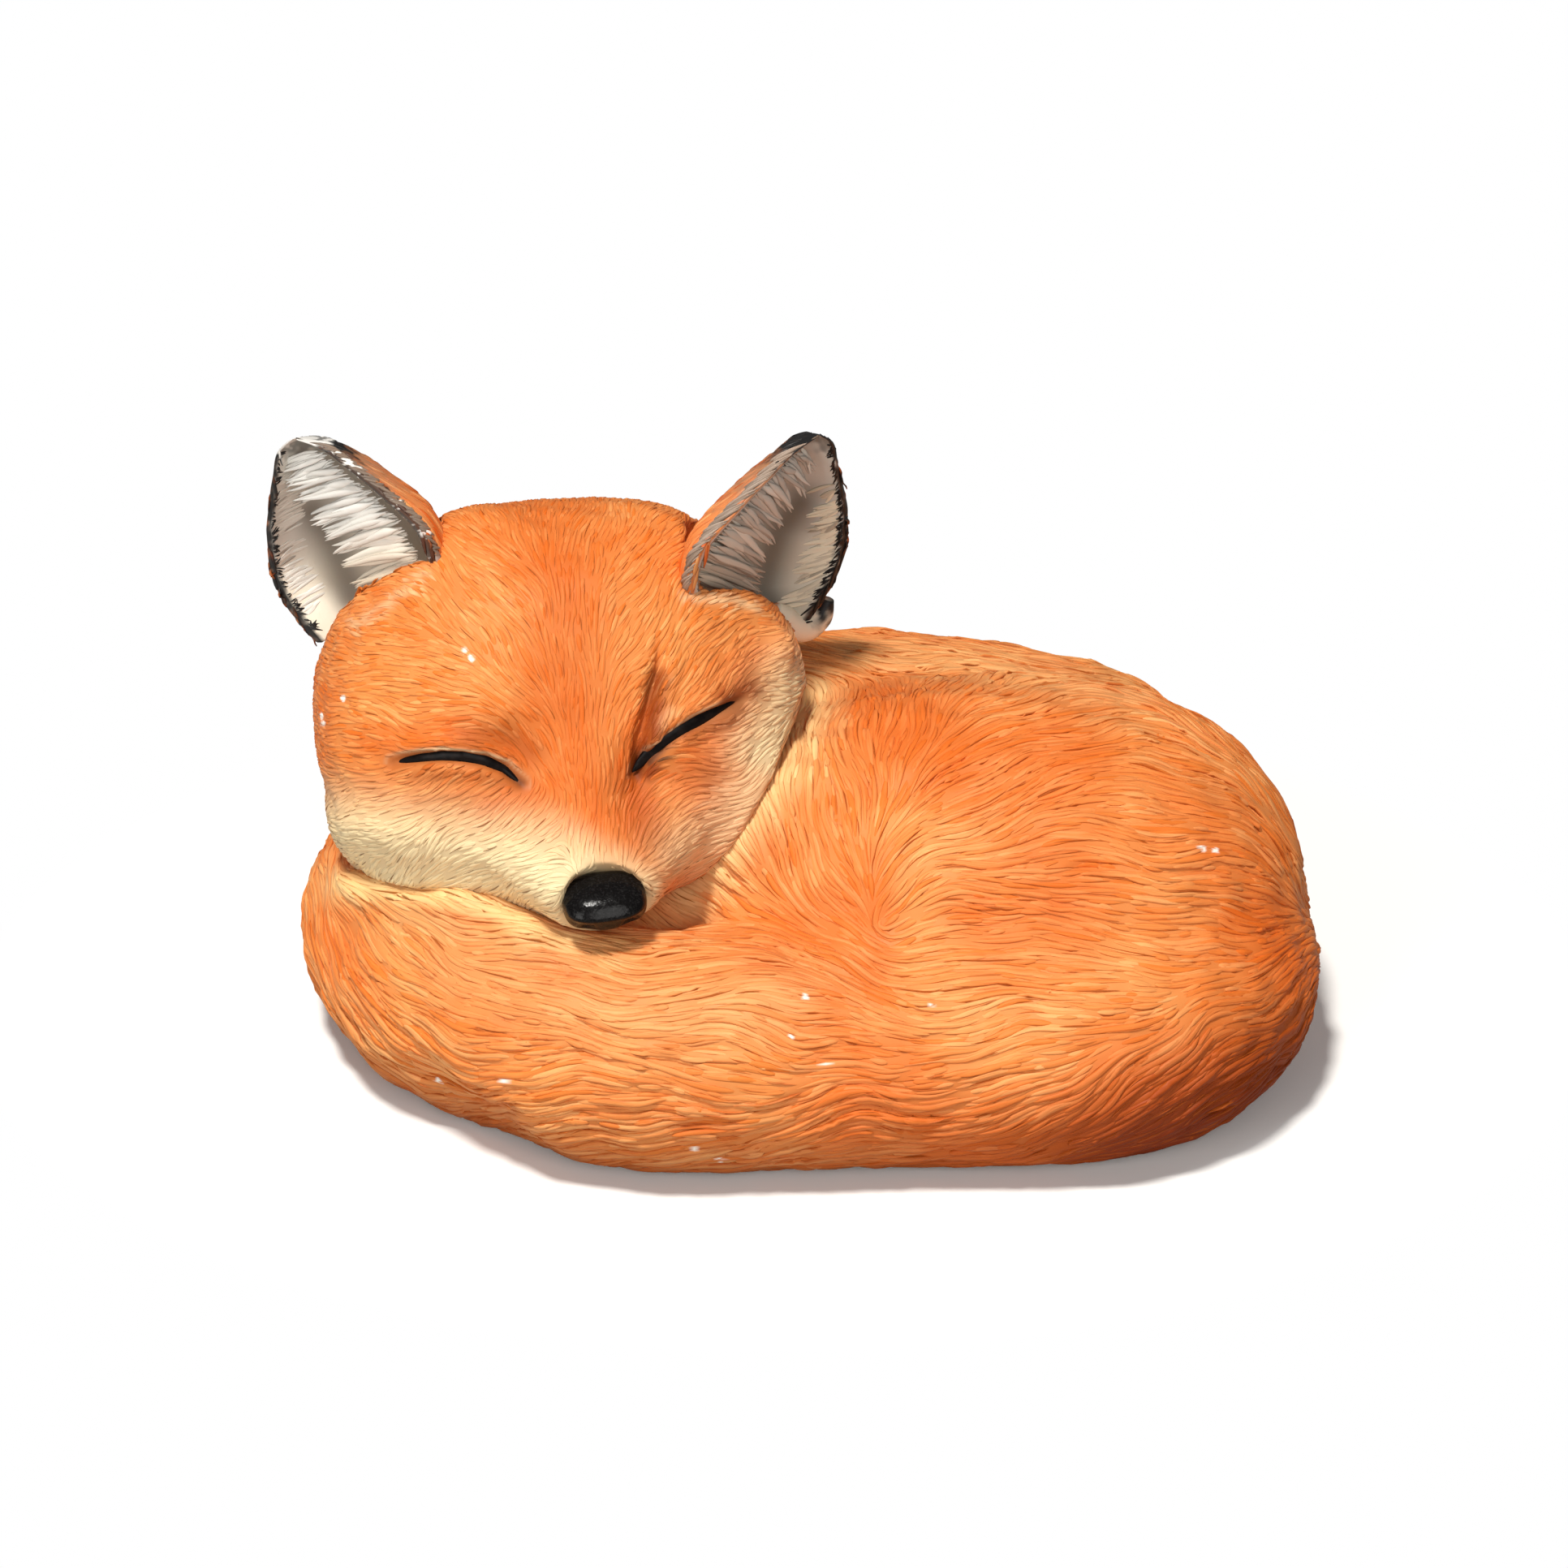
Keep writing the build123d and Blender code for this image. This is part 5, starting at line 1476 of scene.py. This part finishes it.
def ear_piece(name, node, leaf, base, hairs, lobe):
    """The visible leaf of an ear, with fur on its back, hair along its rims and maybe a lower lobe."""
    skin = leaf.skin
    rows, cols = leaf.angle.shape
    normal = skin.normals()
    outer = np.nonzero((base["inside"] == 0) & (leaf.level.ravel() < 0.97))[0]
    finder = Finder(skin.points[outer], 0.9)
    way = np.array((0.0, 0.0, 1.0)) + leaf.along
    flow = unit(way - (normal @ way)[:, None] * normal)
    allowed = np.zeros(len(skin.points), bool)
    allowed[outer] = True
    fur = Coat(skin)

    def find(places):
        """A corner of the leaf's back near each place."""
        return outer[finder(places)]

    for lengths, spacing, steps, width, tall in EAR_PASSES:
        strokes = comb(skin, normal, flow, find, seeds_on(skin, 0.7, allowed), lengths, spacing, EAR_BEND)
        fur.lay(strokes, steps, width, tall, EAR_SINK, width < LINE_WIDTH)
    laid = find(joined(fur.parts)[0][len(skin.points):])
    layers = [base, {key: values[laid] for key, values in base.items()}]

    grids = (skin.points.reshape(rows, cols, 3), normal.reshape(rows, cols, 3))
    first = cols // 2
    last = cols - first - 1.001
    far_first = leaf.angle[0, first] > 1.5

    def on_leaf(height, gap, from_far, back):
        """Places and normals in the cup or on its back, by height and by millimetres from a rim."""
        row = np.clip((height - EAR_LOW) / (EAR_HIGH - EAR_LOW) * (rows - 1), 0, rows - 1.001)
        share = np.clip(gap / (math.pi * np.interp(row, np.arange(rows), leaf.half)), 0, 1)
        share = share if from_far == far_first else 1 - share
        col = (1 - share) * last if back else first + share * last
        i = row.astype(int)
        j = col.astype(int)
        a = (row - i)[:, None]
        b = (col - j)[:, None]
        return [(g[i, j] * (1 - b) + g[i, j + 1] * b) * (1 - a)
                + (g[i + 1, j] * (1 - b) + g[i + 1, j + 1] * b) * a for g in grids]

    share = np.linspace(0, 1, 16)
    steps = 10
    for number, from_far, back, heights, start, stop, slant, width, tall, tint, ink, flecks in hairs:
        strokes = []
        for _ in range(number):
            height = rng.uniform(*heights) + rng.normal(slant, 0.02) * share
            gap = rng.uniform(*start) * (1 - share) + rng.uniform(*stop) * share
            places, normals = on_leaf(height, gap, from_far, back)
            strokes.append((places, unit(np.gradient(places, axis=0)), unit(normals)))
        fur.lay(strokes, steps, width, tall, EAR_SINK)
        along = np.tile(np.repeat(np.linspace(0, 1, steps), len(PROFILE)), number)
        flecked = np.repeat(rng.uniform(size=number) < flecks, steps * len(PROFILE))
        bare = flecked * (np.abs(along - 0.6) < 0.25)
        layer = {key: np.full(len(along), tint.get(key, 0.0)) for key in base}
        layer.update(inside=np.ones(len(along)), black=ink(along), chip=0.9 * bare)
        layers.append(layer)
    if lobe:
        share = np.linspace(0, 1, 40)
        centre = softened(resample(np.array([leaf.meet(x, y, depth) for x, y, depth, _ in lobe]), share))
        radius = np.interp(share, np.linspace(0, 1, len(lobe)), [size for *_, size in lobe])
        tangent = unit(np.gradient(centre, axis=0))
        across = unit(np.cross(leaf.front, tangent))
        sides = 20
        corners, faces = rod(centre, across, np.cross(tangent, across), radius, radius, sides)
        fur.add(corners, faces, np.zeros_like(corners), len(corners), edge=LOBE_EDGE)
        out = (corners - np.repeat(centre, sides, axis=0)) / np.repeat(radius, sides)[:, None]
        front = smooth_step(-0.5, 0.0, out @ leaf.front)
        along = np.repeat(share, sides)
        layer = {key: np.zeros(len(corners)) for key in base}
        ends = smooth_step(0.36, 0.1, along + 0.1 * waves(corners, 2.0, 14))
        layer.update(inside=front, pale=front, black=front * ends)
        layers.append(layer)
    points, quads, _, values = fur.join()
    values["edge"][:len(skin.points)] = EAR_EDGE
    paint = {key: np.concatenate([layer[key] for layer in layers]) for key in base}
    piece(name, points, quads, ear_paint.material, node, "ear_shell", **paint, **values)


def tuft_piece(name, node, leaf, locks, tuft_shade):
    """Pointed strands in locks that spring from the rim of an ear and lie over its cup."""
    meet = leaf.meet
    parts = []
    paint = {"groove": [], "warm": [], "tuft_shade": []}
    rows, cols, strands = 24, 12, 14
    share = np.linspace(0, 1, rows)
    step = share[:, None]
    side = np.abs(np.cos(np.linspace(0, 2 * math.pi, cols, endpoint=False))) ** 6
    ends = [(0.9 * meet(*root, 2.4) + 0.1 * meet(*tip, 2.4), meet(*tip, 2.2)) for root, tip, _, _ in locks]
    for k, (low, high) in enumerate(zip(locks, locks[1:])):
        for m in range(strands):
            blend = (m + rng.uniform(0.1, 0.9)) / strands
            root = ends[k][0] * (1 - blend) + ends[k + 1][0] * blend + rng.normal(0, 0.35, 3)
            between = ends[k][1] * (1 - blend) + ends[k + 1][1] * blend
            tip = 0.2 * between + 0.8 * ends[k if blend < 0.5 else k + 1][1] + rng.normal(0, 0.5, 3)
            if m % 3 == 2:
                tip = tip + (root - tip) * rng.uniform(0.25, 0.5)
            bow = (root + tip) / 2 + leaf.front * rng.uniform(0.2, 1.2) + (0, 0, 0.8)
            centre = (1 - step) ** 2 * root + 2 * step * (1 - step) * bow + step ** 2 * tip
            tangent = unit(np.gradient(centre, axis=0))
            across = unit(np.cross(leaf.front, tangent))
            lift = np.cross(tangent, across)
            taper = smooth_step(-0.05, 0.3, share) * (1 - share ** 2.2) ** 0.8
            size = low[2] * rng.uniform(0.22, 0.38) * taper + 0.04
            sway = rng.uniform(0.1, 0.5) * np.sin(share * 6 + rng.uniform(0, 6)) * share
            parts.append(rod(centre + across * sway[:, None], across, lift, size, 0.4 * size, cols))
            paint["groove"].append(np.tile(np.clip(side + rng.uniform(0, 0.25), 0, 1), rows))
            paint["warm"].append(np.full(rows * cols, low[3] * (1 - blend) + high[3] * blend))
            paint["tuft_shade"].append(np.full(rows * cols, np.clip(tuft_shade + rng.normal(0, 0.1), 0, 1)))
    paint = {key: np.concatenate(values) for key, values in paint.items()}
    piece(name, *joined(parts), tuft_paint.material, node, "ear_tuft", **paint)


def at_end(strength, first):
    """Black that sets in near the end of a hair."""
    return lambda along: strength * smooth_step(first, 1.0, along)


def even(start, stop):
    """Black that changes evenly along a hair."""
    return lambda along: start + (stop - start) * along


# Locks in the ears: the root and the tip on the sheet, half the width, and the warmth
LEFT_LOCKS = (
    ((395, 553), (346, 577), 1.8, 0.0), ((425, 575), (352, 596), 2.1, 0.0),
    ((450, 595), (371, 612), 2.3, 0.0), ((472, 612), (385, 640), 2.4, 0.0),
    ((490, 628), (403, 657), 2.4, 0.05), ((505, 650), (415, 677), 2.4, 0.15),
    ((518, 672), (424, 695), 2.3, 0.3), ((526, 692), (440, 722), 2.2, 0.5),
    ((528, 706), (462, 742), 2.0, 0.7),
)
RIGHT_LOCKS = (
    ((985, 552), (1003, 580), 1.6, 0.2), ((962, 566), (992, 600), 2.0, 0.15),
    ((940, 585), (973, 629), 2.2, 0.15), ((920, 606), (962, 648), 2.3, 0.15),
    ((900, 628), (950, 668), 2.3, 0.2), ((880, 650), (941, 692), 2.3, 0.25),
    ((862, 672), (937, 708), 2.2, 0.3), ((850, 690), (935, 728), 2.1, 0.4),
    ((846, 704), (925, 742), 2.0, 0.5),
)
# Hair in the ears: how many, whether from the far rim, whether on the back, heights, distances from the rim
# where each starts and stops, slant, width, height, tint, black along it, and the share with a bare fleck
LEFT_HAIRS = (
    (75, True, False, (-0.05, 0.85), (5.0, 10.0), (0.4, 0.8), 0.0, 0.44, 0.12, {"pale": 0.05},
     at_end(0.8, 0.86), 0.0),
    (90, True, False, (-0.12, 0.95), (0.0, 0.2), (0.8, 2.8), -0.01, 0.17, 0.18, {}, even(1.0, 1.0), 0.0),
    (80, False, False, (0.05, 0.93), (2.0, 2.8), (0.0, 0.3), 0.08, 0.40, 0.3, {"hollow": 0.7, "brown": 0.3},
     even(0.0, 0.6), 0.2),
    (75, False, True, (0.14, 0.92), (1.6, 2.6), (0.0, 0.2), 0.06, 0.36, 0.3, {"hollow": 0.6, "brown": 0.7},
     even(0.0, 0.6), 0.16),
)
RIGHT_HAIRS = (
    (70, True, False, (-0.18, 0.52), (5.0, 9.5), (0.5, 1.0), 0.14, 0.46, 0.26, {"pale": 1.0},
     at_end(1.0, 0.82), 0.0),
    (90, True, False, (-0.10, 0.95), (0.0, 0.2), (1.0, 2.8), -0.06, 0.18, 0.22, {}, even(1.0, 1.0), 0.0),
    (80, False, False, (-0.12, 0.92), (3.0, 4.0), (0.0, 0.3), 0.13, 0.40, 0.4, {"brown": 0.85},
     even(0.0, 0.15), 0.0),
    (85, False, True, (-0.1, 0.88), (2.6, 3.8), (0.0, 0.2), 0.13, 0.34, 0.5, {"brown": 0.8},
     even(0.3, 0.0), 0.0),
)
# The right ear's lower lobe: places on the sheet, depth behind the rims and radius
RIGHT_LOBE = (
    (1021, 738, 0.5, 1.0), (1013, 758, 0.5, 2.2), (994, 774, 1.0, 2.6), (974, 772, 2.0, 2.7),
    (962, 758, 3.0, 2.3), (956, 748, 3.5, 1.0),
)
# The line of deepest painted shade in each ear's cup, on the sheet
LEFT_CUP_SHADE = ((385, 632), (404, 658), (414, 680), (424, 705), (436, 730))
RIGHT_CUP_SHADE = ((985, 620), (960, 655), (948, 690), (940, 725), (950, 745))

left_leaf = ear_leaf((-70.5, -6.0, 77.5), (-80.8, -5.0, 108.0), -30.0, 1, 0.28, 0.0, 0.16, 0.12)
right_leaf = ear_leaf((-3.5, -2.0, 76.0), (5.8, -3.0, 107.6), 46.0, -1, 0.46, 0.22, 0.16, 0.17)
left_paint = leaf_paint(left_leaf, 0.9, 0.6, LEFT_CUP_SHADE, 0.78)
right_paint = leaf_paint(right_leaf, 0.25, 0.7, RIGHT_CUP_SHADE, 0.85)
ear_piece("left_ear_leaf", "left_ear", left_leaf, left_paint, LEFT_HAIRS, ())
ear_piece("right_ear_leaf", "right_ear", right_leaf, right_paint, RIGHT_HAIRS, RIGHT_LOBE)
# The right ear's tufts are painted in shade
tuft_piece("left_tuft_locks", "left_ear_tuft", left_leaf, LEFT_LOCKS, 0.02)
tuft_piece("right_tuft_locks", "right_ear_tuft", right_leaf, RIGHT_LOCKS, 0.5)

# Hidden pieces keep their CAD mesh and get a two-tone finish:
# the node, the paint, two colours, the scale of its clouds, roughness, relief and how metallic it is
HIDDEN = (
    ("base_plate", "plate_resin", (0.55, 0.50, 0.42), (0.48, 0.43, 0.36), 300.0, 0.6, 0.15, 0.0),
    ("felt_pad", "felt", (0.10, 0.09, 0.08), (0.16, 0.14, 0.12), 2500.0, 0.95, 0.5, 0.0),
    ("neck_dowels", "dowel_wood", (0.60, 0.42, 0.24), (0.48, 0.31, 0.16), 500.0, 0.65, 0.2, 0.0),
    ("ear_pins", "pin_steel", (0.62, 0.62, 0.63), (0.52, 0.52, 0.54), 900.0, 0.35, 0.05, 1.0),
)
for node, name, first, second, scale, rough, relief, metal in HIDDEN:
    paint = Paint(name)
    cloud = paint.range(paint.noise(scale, 4.0), 0.35, 0.65)
    paint.set(Base_Color=paint.mix(cloud, first, second), Metallic=metal)
    paint.rough(scale * 2, rough - 0.08, rough + 0.08)
    paint.bump(paint.noise(scale * 3), relief, 0.0003)
    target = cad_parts[node]
    target.data.materials.clear()
    target.data.materials.append(paint.material)


def choose_shader(nodes, links, factor, first, second, output):
    """Sends one shader or another to an output, by a factor."""
    choice = nodes.new("ShaderNodeMixShader")
    links.new(factor, choice.inputs["Fac"])
    links.new(first, choice.inputs[1])
    links.new(second, choice.inputs[2])
    links.new(choice.outputs["Shader"], nodes[output].inputs["Surface"])


# Floor: it takes shadows near the figurine and is plain white to the camera further out
floor_corners = ((-4, -4, 0), (4, -4, 0), (4, 4, 0), (-4, 4, 0))
floor_mesh = raw_mesh("floor", floor_corners, ((0, 1, 2, 3),))
floor = bpy.data.objects.new("floor", floor_mesh)
scene.collection.objects.link(floor)
paint = Paint("floor")
sight = paint.node("ShaderNodeLightPath").outputs["Is Camera Ray"]
paint.set(Base_Color=paint.mix(sight, FLOOR_GREY, FLOOR_WHITE), Roughness=0.9, Specular_IOR_Level=0.1)
oval = paint.node("ShaderNodeMapping", Vector=paint.place(), Scale=FLOOR_OVAL)
reach = paint.node("ShaderNodeVectorMath")
reach.operation = "LENGTH"
paint.feed(reach.inputs[0], oval.outputs["Vector"])
beyond = paint.times(paint.range(reach.outputs["Value"], 1.0, 1.4), sight)
glow = paint.node("ShaderNodeEmission").outputs["Emission"]
choose_shader(paint.nodes, paint.links, beyond, paint.shader.outputs["BSDF"], glow, "Material Output")
floor_mesh.materials.append(paint.material)

# Lights: name, place, target, size, power and colour
LIGHTS = (
    ("key", (-0.22, -0.44, 1.32), (0, 0, 0.03), 0.2, 18.4, (1.0, 0.97, 0.92)),
    ("fill", (0.35, -1.3, 0.85), (0, 0, 0.03), 0.9, 6.8, (1.0, 0.98, 0.95)),
    ("side", (-0.80, -1.1, 0.5), (0, 0, 0.06), 0.8, 7.0, (1.0, 0.98, 0.95)),
)
for name, place, target, size, power, colour in LIGHTS:
    light = bpy.data.lights.new(name, "AREA")
    light.shape = "DISK"
    light.size = size
    light.energy = power
    light.color = colour
    lamp = bpy.data.objects.new(name, light)
    scene.collection.objects.link(lamp)
    lamp.location = place
    lamp.rotation_euler = (Vector(target) - Vector(place)).to_track_quat("-Z", "Y").to_euler()

# Backdrop: a faint glow that lights the figurine, and white to the camera
world = bpy.data.worlds.new("studio")
scene.world = world
world.use_nodes = True
nodes = world.node_tree.nodes
backdrops = (nodes["Background"], nodes.new("ShaderNodeBackground"))
for backdrop, colour, strength in zip(backdrops, ((0.95, 0.97, 1.0), (1.0, 1.0, 1.0)), (0.12, 1.0)):
    backdrop.inputs["Color"].default_value = (*colour, 1.0)
    backdrop.inputs["Strength"].default_value = strength
sight = nodes.new("ShaderNodeLightPath").outputs["Is Camera Ray"]
glow, white = (backdrop.outputs["Background"] for backdrop in backdrops)
choose_shader(nodes, world.node_tree.links, sight, glow, white, "World Output")

camera_data = bpy.data.cameras.new("camera")
camera_data.lens = LENS
camera_data.sensor_width = SENSOR
camera = bpy.data.objects.new("camera", camera_data)
scene.collection.objects.link(camera)
camera.location = Vector(EYE * 0.001)
camera.rotation_euler = (math.radians(90 - ELEVATION), 0, 0)
scene.camera = camera
scene.view_settings.view_transform = "Standard"
